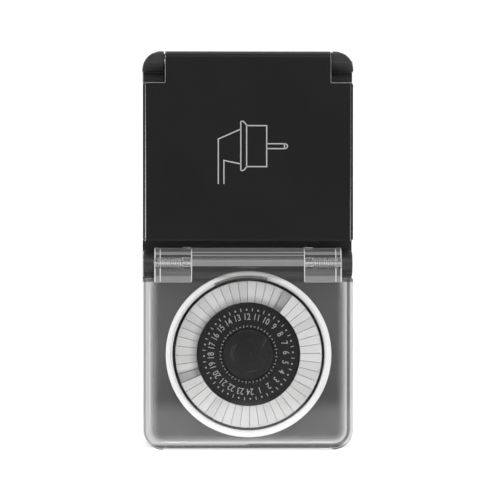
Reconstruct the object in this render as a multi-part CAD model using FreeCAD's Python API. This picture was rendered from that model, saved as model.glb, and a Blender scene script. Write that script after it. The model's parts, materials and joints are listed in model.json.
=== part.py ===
import FreeCAD, Part
import math
import os

# Mechanical 24-hour timer socket for outdoor use. Millimetres.
# X is the width, Z is up, and the front faces -Y.
# The origin is on the common axis of the rear plug and the front socket, in the rear face of the housing.

Vector = FreeCAD.Vector

# Outline seen from the front
ears_width = 75.0
lid_side_inset = 0.25
cover_side_inset = 0.35
lower_ear_inset = 0.4
top_z = 36.6
height = 141.0
top_corner = 6.9
bottom_corner = 7.1
housing_inset = 0.2

# Depths behind and in front
rear_depth = 22.0
front_depth = 21.5
lid_depth = 12.2
lid_seat_gap = 0.3

# Housing shells
wall = 2.6
back_wall = 2.6
front_wall = 2.2
back_edge_radius = 2.5
step_width = 1.3
step_depth = 2.4
seal_thickness = 1.0
fit_gap = 0.1
loose_gap = 0.3
cut_margin = 1.0
same_place = 0.000001

# Housing screws
screw_inset = 6.6
screw_radius = 1.5
screw_head_radius = 2.75
screw_head_height = 2.2
screw_recess_radius = 3.1
screw_recess_depth = 9.0
screw_tube_radius = 3.6
screw_tube_end = 12.0
screw_reach = 12.0
screw_pilot_rest = 4.0
screw_cross_length = 3.4
screw_cross_width = 0.8
front_boss_radius = 3.2
screw_clearance = 0.15
thread_clearance = 0.04

# Socket lid
upper_ear_width = 7.8
shoulder_drop = 11.1
lid_height = 67.2
lid_wall = 2.0
lid_bevel = 1.0
lid_lip_round = 0.6
lid_corner = 1.1
tongue_round = 2.4
tongue_back_round = 0.8
tongue_wall = 1.4
lid_axis_drop = 3.9
lid_axis_depth = 6.0
knuckle_width = 5.2
tongue_back_reach = 4.0
ear_gap = 0.3
ear_drop = 7.1
ear_facet_drop = 4.0
ear_facet_depth = 3.0
ear_front_inset = 0.8
ear_low_round = 0.5
ear_crease_round = 0.4
ear_top_round = 1.2
ear_foot_depth = 5.9
ear_foot_gap = 0.35
ear_foot_inset = 0.25
hinge_pin_radius = 1.2
running_gap = 0.08
pin_seat_gap = 0.03
pin_end_gap = 0.2
lid_pin_blind = 3.4
leg_rest_width = 3.0
leg_rest_height = 2.0

# Springs
lid_spring_radius = 1.95
lid_spring_wire = 0.7
lid_spring_pitch = 1.16
lid_spring_turns = 8.25
lid_spring_leg = 5.5
cover_spring_radius = 2.1
cover_spring_wire = 0.36
cover_spring_pitch = 0.78
cover_spring_turns = 9.25
cover_spring_leg = 3.4
spring_rest_gap = 0.3
spring_points_per_turn = 24

# Clear dial cover
lid_cover_gap = 2.1
barrel_radius = 6.0
cover_wall = 2.4
cover_front = 2.0
barrel_wall = 1.6
lower_ear_width = 3.8
cover_bridge_overlap = 0.5
cover_shoulder_round = 0.8
cover_inner_round = 0.5
block_width = 12.8
block_end = 1.3
block_boss_width = 2.7
block_boss_side = 3.9
lower_ear_radius = 4.5
lower_ear_gap = 0.2
cover_shoulder_gap = 0.35
cover_shoulder_wall = 1.5
catch_rib_width = 0.6
catch_rib_height = 0.4
catch_rib_places = (-29.0, -23.0, 24.2, 29.5)
cover_seal_width = 1.0
cover_seal_height = 0.9
cover_seal_gap = 0.4

# Socket insert
well_radius = 19.6
well_depth = 17.5
insert_wall = 3.0
insert_flange_radius = 24.5
insert_flange_thickness = 1.5
rim_height = 6.5
well_floor = 3.5
pin_spacing = 19.0
pin_radius = 2.4
pin_hole_radius = 2.8
chamber_radius = 3.8
chamber_wall = 1.4
chamber_depth = 14.0
lid_seal_thickness = 1.3
lid_seal_width = 2.2
lid_seal_gap = 0.25

# Contacts
sleeve_wall = 0.9
sleeve_length = 13.0
sleeve_slit = 0.8
sleeve_root = 2.0
strap_width = 7.0
strap_thickness = 0.7
clip_span = 34.4
clip_reach = 10.6
clip_slot_gap = 0.6
clip_drop = 3.4
strap_span = 41.8
bar_thickness = 0.8
bar_width = 5.0
strap_bar_gap = 0.8

# Plug
plug_radius = 18.3
plug_length = 17.0
plug_flange_radius = 20.6
plug_flange_thickness = 2.0
plug_guide_depth = 1.8
plug_guide_width = 5.4
plug_flat = 15.8
plug_flat_width = 10.0
plug_contact_width = 8.0
plug_contact_end = 2.0
plug_contact_shelf = 1.0
pin_length = 19.0
pin_tail = 9.0
pin_root_radius = 2.0
pin_tip_round = 1.8

# Dial
dial_offset = 0.3
dial_drop = 107.4
collar_radius = 29.4
collar_bore = 27.05
collar_height = 7.1
collar_slope = 0.8
collar_slope_depth = 1.2
collar_edge_round = 0.5
collar_lip_round = 0.3
notch_radius = 28.0
notch_start = 76.0
notch_span = 40.0
spigot_wall = 1.1
tappet_count = 48
tappets_per_group = 4
first_pressed = 7
pressed_groups = 5
dial_turn = 0.8
tappet_inner = 18.4
tappet_outer = 26.0
tappet_gap = 0.12
tappet_head = 3.3
tappet_travel = 2.5
raised_height = 6.8
blade_inner = 20.2
blade_outer = 24.8
blade_thickness = 1.2
slot_gap = 0.15
carrier_floor_gap = 0.2
carrier_back = 2.5
disc_gap = 0.2
disc_thickness = 1.2
disc_height = 5.1
hub_radius = 9.15
hub_height = 7.4
hub_round = 0.8
hub_front_wall = 1.3
hub_recess_radius = 4.8
carrier_neck_radius = 6.0
spigot_outer = 6.6
spigot_inner = 5.5
spigot_reach = 0.8
axle_radius = 2.5
axle_foot_radius = 3.2
axle_foot_height = 2.1
axle_groove_depth = 0.6
retainer_radius = 4.2
retainer_thickness = 0.7
retainer_gap = 0.2
retainer_mouth = 2.4

# Gears
gear_module = 0.6
dial_teeth = 60
pinion_teeth = 12
wheel_teeth = 40
addendum = 0.75
dedendum = 1.15
backlash = 0.18
pressure_angle = 20.0
dial_gear_depth = 3.2
dial_gear_thickness = 2.5
wheel_gap = 0.4
wheel_thickness = 1.4
reduction_direction = 90.0
motor_direction = -60.0
gear_shaft_radius = 1.0
motor_shaft_bore = 1.7

# Gear plate and motor
plate_depth = 8.1
plate_thickness = 2.0
plate_corner = 3.0
plate_width = 60.0
plate_top_drop = 71.0
plate_bottom_drop = 126.4
plate_tab_width = 36.0
plate_tab_drop = 136.1
post_radius = 2.6
post_spread = 27.0
post_rise = 14.8
post_fall = 13.2
plate_screw_radius = 1.1
plate_screw_head = 2.2
plate_screw_head_height = 1.6
plate_screw_length = 6.0
plate_screw_slot = 0.6
motor_radius = 17.4
motor_length = 14.0
motor_edge = 1.0
motor_shaft_depth = 7.0
motor_lug_depth = 10.5
motor_lug_width = 2.4
motor_lug_reach = 3.0
motor_lug_thickness = 0.8
motor_lug_spread = 4.0
lead_radius = 0.6
lead_bend = 2.4
lead_side = 17.0
lead_rise = 15.0

# Microswitch
switch_length = 20.0
switch_width = 7.0
switch_front = 2.4
switch_back = 5.4
switch_flange = 2.3
switch_flange_thickness = 1.2
switch_shift = -3.3
follower_radius = 22.5
lever_reach = 12.3
lever_thickness = 0.6
lever_width = 3.0
lever_nose = 0.9
lever_barrel = 1.2
lever_pin_radius = 0.5
lever_ear = 1.0
lever_gap = 0.3
lever_side_gap = 0.2
plunger_radius = 0.9
plunger_reach = 7.0
terminal_length = 4.0
terminal_tip = 1.0
terminal_spread = 6.7

# Worked out from the sizes above
bottom_z = top_z - height
lid_width = ears_width - lid_side_inset * 2
cover_width = ears_width - cover_side_inset * 2
lower_ears_width = ears_width - lower_ear_inset * 2
tongue_width = ears_width - (upper_ear_width + ear_gap) * 2
hinge_zone_width = lower_ears_width - (lower_ear_width + lower_ear_gap) * 2
front_wall_y = -(rear_depth + front_depth)
inner_wall_y = front_wall_y + front_wall
seat_y = front_wall_y - lid_seat_gap
front_y = seat_y - lid_depth
housing_half = ears_width / 2 - housing_inset
housing_top = top_z - housing_inset
housing_bottom = bottom_z + housing_inset
lid_axis_y = front_y + lid_axis_depth
lid_axis_z = top_z - lid_axis_drop
lid_bottom = top_z - lid_height
shoulder_z = top_z - shoulder_drop
cover_axis_y = front_y + barrel_radius
cover_axis_z = lid_bottom - lid_cover_gap - barrel_radius
dial_x = dial_offset
dial_z = top_z - dial_drop
rim_y = front_wall_y - rim_height
well_floor_y = rim_y + well_depth
insert_back_y = well_floor_y + well_floor
insert_radius = well_radius + insert_wall
half_pins = pin_spacing / 2
clip_fold_y = rim_y + clip_drop
pressed_back_y = front_wall_y - raised_height + tappet_head + tappet_travel
carrier_front_y = pressed_back_y + carrier_floor_gap
carrier_back_y = front_wall_y + carrier_back
raised_front_y = front_wall_y - raised_height
disc_front_y = front_wall_y - disc_height
disc_back_y = disc_front_y + disc_thickness
retainer_back_y = disc_back_y - retainer_gap
blade_end_y = carrier_back_y - loose_gap
gear_front_y = inner_wall_y + dial_gear_depth - fit_gap
gear_back_y = gear_front_y + dial_gear_thickness
wheel_front_y = gear_back_y + wheel_gap
wheel_back_y = wheel_front_y + wheel_thickness
plate_front_y = inner_wall_y + plate_depth
plate_back_y = plate_front_y + plate_thickness
reduction_distance = gear_module * (dial_teeth + pinion_teeth) / 2
motor_distance = gear_module * (wheel_teeth + pinion_teeth) / 2
reduction_x = dial_x + reduction_distance * math.cos(math.radians(reduction_direction))
reduction_z = dial_z + reduction_distance * math.sin(math.radians(reduction_direction))
motor_x = reduction_x + motor_distance * math.cos(math.radians(motor_direction))
motor_z = reduction_z + motor_distance * math.sin(math.radians(motor_direction))
follower_z = dial_z - follower_radius
pressed_end_y = blade_end_y + tappet_travel
lever_top_y = pressed_end_y + lever_gap
lever_nose_y = lever_top_y + lever_nose
lever_pivot_x = dial_x - lever_reach
lever_back_y = lever_nose_y + lever_thickness
switch_front_y = plate_front_y - switch_front
switch_back_y = plate_back_y + switch_back
switch_low_x = dial_x + switch_shift - switch_length / 2
switch_high_x = dial_x + switch_shift + switch_length / 2
live_bar_y = -pin_tail
lug_y = plate_back_y + motor_lug_depth
switched_bar_y = insert_back_y + chamber_depth + fit_gap


def box(x0, x1, y0, y1, z0, z1):
    """Box between two corners, given in either order."""
    corner = Vector(min(x0, x1), min(y0, y1), min(z0, z1))
    return Part.makeBox(abs(x1 - x0), abs(y1 - y0), abs(z1 - z0), corner)


def rod_y(radius, y0, y1, x=0.0, z=0.0):
    """Round bar along Y."""
    return Part.makeCylinder(radius, abs(y1 - y0), Vector(x, min(y0, y1), z), Vector(0, 1, 0))


def tube_y(outer, inner, y0, y1, x=0.0, z=0.0):
    """Tube along Y."""
    return rod_y(outer, y0, y1, x, z).cut(rod_y(inner, y0, y1, x, z))


def rod_x(radius, x0, x1, y, z):
    """Round bar along X."""
    return Part.makeCylinder(radius, abs(x1 - x0), Vector(min(x0, x1), y, z), Vector(1, 0, 0))


def rod_z(radius, z0, z1, x, y):
    """Round bar along Z."""
    return Part.makeCylinder(radius, abs(z1 - z0), Vector(x, y, min(z0, z1)), Vector(0, 0, 1))


def placed(plane, a, b, c):
    """Point with coordinates a and b in a named plane, and c along its normal."""
    if plane == "xz":
        return Vector(a, c, b)
    if plane == "yz":
        return Vector(c, a, b)
    return Vector(a, b, c)


def loop(points, radii, plane, level):
    """Closed wire through points of a plane, with each corner rounded by its own radius."""
    corners = []
    for i, point in enumerate(points):
        corner = Vector(point[0], point[1], 0)
        if radii[i] == 0:
            corners.append((corner, None, corner))
            continue
        before = Vector(points[i - 1][0], points[i - 1][1], 0)
        after = Vector(points[(i + 1) % len(points)][0], points[(i + 1) % len(points)][1], 0)
        back = (before - corner).normalize()
        ahead = (after - corner).normalize()
        half = back.getAngle(ahead) / 2
        reach = radii[i] / math.tan(half)
        middle = corner + (back + ahead).normalize() * (radii[i] / math.sin(half) - radii[i])
        corners.append((corner + back * reach, middle, corner + ahead * reach))
    edges = []
    for i, (start, middle, end) in enumerate(corners):
        if middle is not None:
            arc_points = [placed(plane, p.x, p.y, level) for p in (start, middle, end)]
            edges.append(Part.Arc(*arc_points).toShape())
        following = corners[(i + 1) % len(corners)][0]
        if (following - end).Length > same_place:
            line_ends = [placed(plane, p.x, p.y, level) for p in (end, following)]
            edges.append(Part.makeLine(*line_ends))
    return Part.Wire(edges)


def prism(points, radii, plane, low, high):
    """Solid of an outline with rounded corners, from low to high along the plane's normal."""
    face = Part.Face(loop(points, radii, plane, low))
    return face.extrude(placed(plane, 0, 0, high - low))


def plate(x0, x1, z0, z1, bottom_radius, top_radius, y0, y1):
    """Rectangular plate seen from the front, with rounded bottom and top corners."""
    points = [(x0, z0), (x1, z0), (x1, z1), (x0, z1)]
    return prism(points, [bottom_radius, bottom_radius, top_radius, top_radius], "xz", y0, y1)


def joined(shapes):
    """Union of several solids, with the seams between flush faces removed."""
    return shapes[0].fuse(shapes[1:]).removeSplitter()


def edges_at(shape, y):
    """Edges that lie in the upright plane at y."""
    return [e for e in shape.Edges if all(abs(v.Y - y) < same_place for v in e.Vertexes)]


def both_sides(shape):
    """The shape and its mirror image across the middle plane."""
    return [shape, shape.mirror(Vector(0, 0, 0), Vector(1, 0, 0))]


def housing_prism(inset, y0, y1):
    """The housing's outline, drawn in by an inset."""
    half = housing_half - inset
    low_radius = bottom_corner - housing_inset - inset
    high_radius = top_corner - housing_inset - inset
    return plate(-half, half, housing_bottom + inset, housing_top - inset, low_radius, high_radius, y0, y1)


def rim_ring(outer_inset, inner_inset, y0, y1):
    """Band that follows the housing's outline between two insets."""
    return housing_prism(outer_inset, y0, y1).cut(housing_prism(inner_inset, y0, y1))


def screw_places():
    """Centres of the housing screws, as seen from the front."""
    x = housing_half - screw_inset
    rows = (housing_top - screw_inset, housing_bottom + screw_inset)
    return [(side * x, z) for z in rows for side in (-1, 1)]


def rear_housing():
    """Rear shell with the plug's opening and the screw tubes."""
    body = housing_prism(0.0, 0.0, -rear_depth)
    body = body.makeFillet(back_edge_radius, edges_at(body, 0.0))
    body = body.cut(housing_prism(wall, -back_wall, -rear_depth))
    body = body.cut(housing_prism(wall - step_width, -rear_depth + step_depth, -rear_depth))
    tubes = [rod_y(screw_tube_radius, -back_wall / 2, -screw_tube_end, x, z) for x, z in screw_places()]
    body = joined([body] + tubes)
    for x, z in screw_places():
        body = body.cut(rod_y(screw_recess_radius, 0.0, -screw_recess_depth, x, z))
        body = body.cut(rod_y(screw_radius + screw_clearance, 0.0, -screw_tube_end, x, z))
    return body.cut(rod_y(plug_radius + fit_gap, 0.0, -back_wall))


def front_boss(x, z):
    """Boss of the front shell that a housing screw is driven into."""
    return rod_y(front_boss_radius, -screw_tube_end, inner_wall_y - front_wall / 2, x, z)


def upper_ear(side):
    """Hinge ear beside the lid's tongue, with a set-back foot; the side is -1 left and 1 right."""
    inner = tongue_width / 2 + ear_gap
    outer = ears_width / 2
    points = [(side * inner, top_z - ear_drop), (side * outer, top_z - ear_drop)]
    points += [(side * outer, top_z), (side * inner, top_z)]
    block = prism(points, [0, 0, top_corner, 0], "xz", front_wall_y, front_y)
    low = top_z - ear_drop
    face_y = front_y + ear_front_inset
    profile = [(front_wall_y, low), (face_y + ear_facet_depth, low), (face_y, top_z - ear_facet_drop)]
    profile += [(face_y, top_z), (front_wall_y, top_z)]
    rounds = [0, ear_low_round, ear_crease_round, ear_top_round, 0]
    ear = block.common(prism(profile, rounds, "yz", -outer, outer))
    foot_outer = side * (outer - ear_foot_inset)
    foot = box(side * inner, foot_outer, front_wall_y, front_wall_y - ear_foot_depth,
               shoulder_z + ear_foot_gap, low + ear_foot_inset)
    return ear.fuse(foot).removeSplitter()


def lower_ear(side):
    """Round hinge ear beside the clear cover."""
    inner = side * (hinge_zone_width / 2 + lower_ear_gap)
    outer = side * lower_ears_width / 2
    low = cover_axis_z - lower_ear_radius
    high = cover_axis_z + lower_ear_radius
    barrel = rod_x(lower_ear_radius, inner, outer, cover_axis_y, cover_axis_z)
    return barrel.fuse(box(inner, outer, front_wall_y, cover_axis_y, low, high)).removeSplitter()


def post_places():
    """Centres of the posts that carry the gear plate."""
    heights = (dial_z + post_rise, dial_z - post_fall)
    return [(side * post_spread, z) for z in heights for side in (-1, 1)]


def front_housing():
    """Front shell with the hinge ears, the openings for socket and dial, and the inner posts."""
    shell = housing_prism(0.0, -rear_depth, front_wall_y)
    shell = shell.cut(housing_prism(wall, -rear_depth, inner_wall_y))
    lip_end = -rear_depth + step_depth - seal_thickness
    lip = rim_ring(wall - step_width + fit_gap, wall + fit_gap, -rear_depth - back_wall, lip_end)
    bridge = rim_ring(wall - step_width, wall + fit_gap, -rear_depth, -rear_depth - back_wall)
    bosses = [front_boss(x, z) for x, z in screw_places()]
    post_top = inner_wall_y - front_wall / 2
    posts = [rod_y(post_radius, post_top, plate_front_y, x, z) for x, z in post_places()]
    ears = [upper_ear(-1), upper_ear(1), lower_ear(-1), lower_ear(1)]
    body = joined([shell, bridge, lip] + bosses + posts + ears)
    for x, z in screw_places():
        pilot_end = -screw_recess_depth - screw_reach - screw_pilot_rest
        body = body.cut(rod_y(screw_radius + thread_clearance, -screw_tube_end, pilot_end, x, z))
    for x, z in post_places():
        pilot_end = plate_back_y - plate_screw_length - fit_gap
        body = body.cut(rod_y(plate_screw_radius + thread_clearance, plate_front_y, pilot_end, x, z))
    body = body.cut(rod_y(insert_radius + fit_gap, inner_wall_y, front_wall_y))
    body = body.cut(rod_y(collar_bore + spigot_wall + fit_gap, inner_wall_y, front_wall_y, dial_x, dial_z))
    lid_bore = hinge_pin_radius + pin_seat_gap
    ear_inner = tongue_width / 2 + ear_gap
    body = body.cut(rod_x(lid_bore, ear_inner, ears_width / 2, lid_axis_y, lid_axis_z))
    body = body.cut(rod_x(lid_bore, -ear_inner - lid_pin_blind - fit_gap, -ear_inner, lid_axis_y, lid_axis_z))
    half = lower_ears_width / 2
    for side in (-1, 1):
        body = body.cut(rod_x(lid_bore, side * hinge_zone_width / 2, side * half, cover_axis_y, cover_axis_z))
    return body


def housing_gasket():
    """Rubber seal in the step between the two shells."""
    y_end = -rear_depth + step_depth
    return rim_ring(wall - step_width + fit_gap, wall - fit_gap / 2, y_end, y_end - seal_thickness)


def housing_screws():
    """Four screws driven from behind."""
    screws = []
    for x, z in screw_places():
        seat = -screw_recess_depth
        head = rod_y(screw_head_radius, seat, seat + screw_head_height, x, z)
        shank = rod_y(screw_radius, seat, seat - screw_reach, x, z)
        half_long = screw_cross_length / 2
        half_wide = screw_cross_width / 2
        slot = box(x - half_long, x + half_long, seat + screw_head_height / 2, seat + screw_head_height,
                   z - half_wide, z + half_wide)
        cross = slot.copy()
        cross.rotate(Vector(x, 0, z), Vector(0, 1, 0), 90)
        screws.append(head.fuse(shank).removeSplitter().cut(slot).cut(cross))
    return Part.makeCompound(screws)


def lid_body():
    """Outer form of the socket lid: shouldered plate with bevelled sides and a rounded top edge."""
    half = lid_width / 2
    tongue = tongue_width / 2
    points = [(-half, lid_bottom), (half, lid_bottom), (half, shoulder_z), (tongue, shoulder_z)]
    points += [(tongue, top_z), (-tongue, top_z), (-tongue, shoulder_z), (-half, shoulder_z)]
    radii = [lid_corner, lid_corner, lid_corner, 0, 0, 0, 0, lid_corner]
    body = prism(points, radii, "xz", seat_y, front_y)
    across = [(-half, seat_y), (-half, front_y + lid_bevel), (-half + lid_bevel, front_y)]
    across += [(half - lid_bevel, front_y), (half, front_y + lid_bevel), (half, seat_y)]
    body = body.common(prism(across, [0] * len(across), "xy", lid_bottom, top_z))
    back_y = lid_axis_y + tongue_back_reach
    upright = [(seat_y, lid_bottom), (front_y, lid_bottom), (front_y, top_z), (back_y, top_z)]
    upright += [(back_y, shoulder_z), (seat_y, shoulder_z)]
    rounds = [0, lid_lip_round, tongue_round, tongue_back_round, 0, 0]
    return body.common(prism(upright, rounds, "yz", -half, half))


def socket_lid():
    """Hollow lid with two hinge knuckles, a seal seat and a rest for the spring's leg."""
    inner_y = front_y + lid_wall
    inner_half = tongue_width / 2 - knuckle_width
    body = lid_body()
    side = lid_width / 2 - lid_wall
    low = lid_bottom + lid_wall
    body = body.cut(plate(-side, side, low, shoulder_z - lid_wall, lid_corner, 0, seat_y, inner_y))
    body = body.cut(box(-inner_half, inner_half, seat_y, inner_y, low, top_z - tongue_wall))
    seal_back = rim_y - lid_seal_gap
    seat_outer = insert_radius + lid_seal_gap
    seat_inner = well_radius + lid_seal_gap * 2
    seat = tube_y(seat_outer, seat_inner, inner_y, seal_back - lid_seal_thickness)
    leg_z = lid_axis_z - lid_spring_leg
    leg_face = lid_axis_y - lid_spring_radius - lid_spring_wire / 2 - fit_gap
    leg_x = -lid_spring_pitch * lid_spring_turns / 2
    rest_half = leg_rest_width / 2
    rest = box(leg_x - rest_half, leg_x + rest_half, inner_y, leg_face, leg_z, leg_z + leg_rest_height)
    body = joined([body, seat, rest])
    bore = hinge_pin_radius + running_gap
    return body.cut(rod_x(bore, -tongue_width / 2, tongue_width / 2, lid_axis_y, lid_axis_z))


def lid_gasket():
    """Rubber ring on the lid that closes on the socket's rim."""
    back = rim_y - lid_seal_gap
    middle = well_radius + insert_wall / 2
    half = lid_seal_width / 2
    return tube_y(middle + half, middle - half, back, back - lid_seal_thickness)


def lid_hinge_pin():
    """Steel pin through both ears and the lid's knuckles."""
    left = -tongue_width / 2 - ear_gap - lid_pin_blind
    right = ears_width / 2 - pin_end_gap
    return rod_x(hinge_pin_radius, left, right, lid_axis_y, lid_axis_z)


def arc_between(start, direction, end):
    """Arc from start to end that leaves in a direction."""
    chord = end - start
    along = Vector(chord).normalize()
    aside = direction - along * direction.dot(along)
    bend = direction.getAngle(chord)
    middle = start + chord * 0.5 + aside.normalize() * (chord.Length / 2 * math.tan(bend / 2))
    return Part.Arc(start, middle, end).toShape()


def torsion_spring(name, x_start, axis_y, axis_z, radius, wire, pitch, turns, leg_down, wall_y):
    """Wound spring about an X axis. One leg hangs in front, the other runs back to the wall."""
    def point(turn):
        angle = 2 * math.pi * turn
        y = axis_y - radius * math.cos(angle)
        return Vector(x_start + pitch * turn, y, axis_z + radius * math.sin(angle))

    def heading(turn):
        angle = 2 * math.pi * turn
        rise = pitch / (2 * math.pi)
        return Vector(rise, radius * math.sin(angle), radius * math.cos(angle)).normalize()

    start = point(0)
    leg_start = start - heading(0) * leg_down
    edges = [Part.makeLine(leg_start, start)]
    quarters = int(round(turns * 4))
    for k in range(quarters):
        p, q = point(k / 4), point((k + 1) / 4)
        t, u = heading(k / 4), heading((k + 1) / 4)
        chord, total = q - p, t + u
        spread = 2 * (1 - t.dot(u))
        reach = (math.sqrt(chord.dot(total) ** 2 + spread * chord.dot(chord)) - chord.dot(total)) / spread
        middle = (p + q + (t - u) * reach) * 0.5
        first = arc_between(p, t, middle)
        second = arc_between(q, u * -1, middle)
        edges += [first, second]
    end = point(turns)
    leg_end = end + heading(turns) * (wall_y - end.y)
    edges.append(Part.makeLine(end, leg_end))
    path = Part.Wire(Part.__sortEdges__(edges))
    section = Part.Wire(Part.makeCircle(wire / 2, leg_start, heading(0)))
    spring = path.makePipeShell([section], True, False)
    steps = spring_points_per_turn
    coil = [point(k / steps) for k in range(int(turns * steps) + 1)]
    leg_points = [end + (leg_end - end) * (k / steps) for k in range(1, steps + 1)]
    line = [leg_start + (start - leg_start) * (k / steps) for k in range(steps)] + coil + leg_points
    pairs = [(a, b) for a in range(len(line)) for b in range(a + steps // 2, len(line))]
    least = min((line[a] - line[b]).Length for a, b in pairs)
    print(name, "least gap to itself", round(least - wire, 3), "mm")
    return spring


def lid_spring():
    """Spring that closes the socket lid."""
    start = -lid_spring_pitch * lid_spring_turns / 2
    return torsion_spring("lid_spring", start, lid_axis_y, lid_axis_z, lid_spring_radius, lid_spring_wire,
                          lid_spring_pitch, lid_spring_turns, lid_spring_leg, front_wall_y - spring_rest_gap)


def cover_spring_right():
    """Spring that closes the clear cover, on the right."""
    chamber = hinge_zone_width / 2 - block_end
    rise = cover_spring_pitch / (2 * math.pi * cover_spring_radius)
    drift = rise * (front_wall_y - cover_axis_y)
    start = chamber - fit_gap - drift - cover_spring_wire / 2 - cover_spring_pitch * cover_spring_turns
    leg_end = front_wall_y - spring_rest_gap
    return torsion_spring("cover_spring", start, cover_axis_y, cover_axis_z, cover_spring_radius,
                          cover_spring_wire, cover_spring_pitch, cover_spring_turns, cover_spring_leg,
                          leg_end)


def dial_cover():
    """Clear cover with a barrel hinge and two spring chambers."""
    half = cover_width / 2
    zone = hinge_zone_width / 2
    shoulder = cover_axis_z - lower_ear_radius - cover_shoulder_gap
    inner_y = front_y + cover_front
    main = plate(-half, half, bottom_z, shoulder, bottom_corner, cover_shoulder_round, seat_y, front_y)
    barrel = rod_x(barrel_radius, -zone, zone, cover_axis_y, cover_axis_z)
    bridge_low = shoulder - cover_bridge_overlap
    bridge = box(-zone, zone, front_y, cover_axis_y, bridge_low, cover_axis_z)
    body = joined([main, barrel, bridge])
    side = half - cover_wall
    low_radius = bottom_corner - cover_wall
    inner_top = shoulder - cover_shoulder_wall
    body = body.cut(plate(-side, side, bottom_z + cover_wall, inner_top, low_radius, cover_inner_round,
                          seat_y, inner_y))
    bore = barrel_radius - barrel_wall
    chamber = zone - block_end
    block_inner = zone - block_width
    boss_end = block_inner + block_boss_width
    body = body.cut(rod_x(bore, -chamber, chamber, cover_axis_y, cover_axis_z))
    low = inner_top - cover_bridge_overlap
    body = body.cut(box(-boss_end, boss_end, cover_axis_y, seat_y, shoulder, cover_axis_z + barrel_radius))
    body = body.cut(box(-block_inner, block_inner, inner_y, seat_y, low, cover_axis_z))
    for sign in (-1, 1):
        body = body.cut(box(sign * boss_end, sign * chamber, cover_axis_y, seat_y,
                            cover_axis_z - bore, cover_axis_z + bore))
    side_half = block_boss_side / 2
    extras = []
    for sign in (-1, 1):
        extras.append(box(sign * block_inner, sign * boss_end, front_y + barrel_wall / 2,
                          cover_axis_y + side_half, cover_axis_z - side_half, cover_axis_z + side_half))
    rib_low = bottom_z + cover_wall / 2
    rib_back = front_wall_y - cover_seal_height - loose_gap
    for x in catch_rib_places:
        half = catch_rib_width / 2
        extras.append(box(x - half, x + half, inner_y - cover_bridge_overlap, rib_back, rib_low,
                          bottom_z + cover_wall + catch_rib_height))
    body = joined([body] + extras)
    return body.cut(rod_x(hinge_pin_radius + running_gap, -zone, zone, cover_axis_y, cover_axis_z))


def cover_hinge_pin_right():
    """Steel pin from the right lower ear into the cover's boss."""
    inner = hinge_zone_width / 2 - block_width + fit_gap
    outer = lower_ears_width / 2 - pin_end_gap
    return rod_x(hinge_pin_radius, inner, outer, cover_axis_y, cover_axis_z)


def cover_gasket():
    """U-shaped rubber seal on the front wall inside the clear cover."""
    gap = cover_wall + cover_seal_gap
    half = cover_width / 2 - gap
    low = bottom_z + gap
    high = cover_axis_z - barrel_radius - cover_wall
    radius = bottom_corner - gap
    y1 = front_wall_y - cover_seal_height
    width = cover_seal_width
    outer = plate(-half, half, low, high, radius, 0, front_wall_y, y1)
    inner = plate(-half + width, half - width, low + width, high + width, radius - width, 0, front_wall_y, y1)
    return outer.cut(inner)


def strap_slot(sign):
    """Slot in the socket insert's wall for one earth clip."""
    half = strap_width / 2 + clip_slot_gap
    inner = clip_span / 2 - clip_slot_gap
    outer = strap_span / 2 + clip_slot_gap / 2
    return box(-half, half, clip_fold_y - clip_slot_gap, insert_back_y, sign * inner, sign * outer)


def socket_insert():
    """Round socket well with a rim, a floor with two pin holes and two contact chambers."""
    body = rod_y(insert_radius, rim_y, insert_back_y)
    flange = rod_y(insert_flange_radius, front_wall_y, front_wall_y - insert_flange_thickness)
    body = joined([body, flange]).cut(rod_y(well_radius, rim_y, well_floor_y))
    chamber_end = insert_back_y + chamber_depth
    tubes = []
    for sign in (-1, 1):
        x = sign * half_pins
        tubes.append(rod_y(chamber_radius + chamber_wall, insert_back_y, chamber_end, x, 0.0))
    body = joined([body] + tubes)
    for sign in (-1, 1):
        x = sign * half_pins
        body = body.cut(rod_y(chamber_radius, insert_back_y, chamber_end, x, 0.0))
        body = body.cut(rod_y(pin_hole_radius, well_floor_y, insert_back_y, x, 0.0))
        body = body.cut(strap_slot(sign))
    return body


def sleeve_contact(x):
    """Sprung sleeve behind one pin hole, with a slit and a tail at its rear end."""
    front = insert_back_y + loose_gap
    back = front + sleeve_length
    sleeve = tube_y(pin_radius + sleeve_wall, pin_radius + running_gap, front, back, x, 0.0)
    half = sleeve_slit / 2
    slit = box(x - half, x + half, front, back - sleeve_root, 0, pin_radius + sleeve_wall)
    tail = tube_y(pin_radius + sleeve_wall, pin_radius - sleeve_wall, back, switched_bar_y, x, 0.0)
    return joined([sleeve.cut(slit), tail])


def earth_strap():
    """Earth contact of the socket: two folded clips on one rear strap, and the link to the plug."""
    half = strap_width / 2
    back = insert_back_y + chamber_depth + bar_thickness + strap_bar_gap
    span = strap_span / 2
    clip = clip_span / 2
    fold = clip_fold_y
    pieces = [box(-half, half, back - strap_thickness, back, -span, span)]
    for sign in (-1, 1):
        pieces.append(box(-half, half, fold, back, sign * span, sign * (span - strap_thickness)))
        pieces.append(box(-half, half, fold, fold + strap_thickness, sign * span, sign * clip))
        pieces.append(box(-half, half, fold, fold + clip_reach, sign * clip, sign * (clip + strap_thickness)))
    link = bar_width / 2
    link_end = -back_wall - plug_flange_thickness - strap_thickness
    pieces.append(box(-link, link, back - strap_thickness, link_end, -link, link))
    return joined(pieces)


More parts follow.
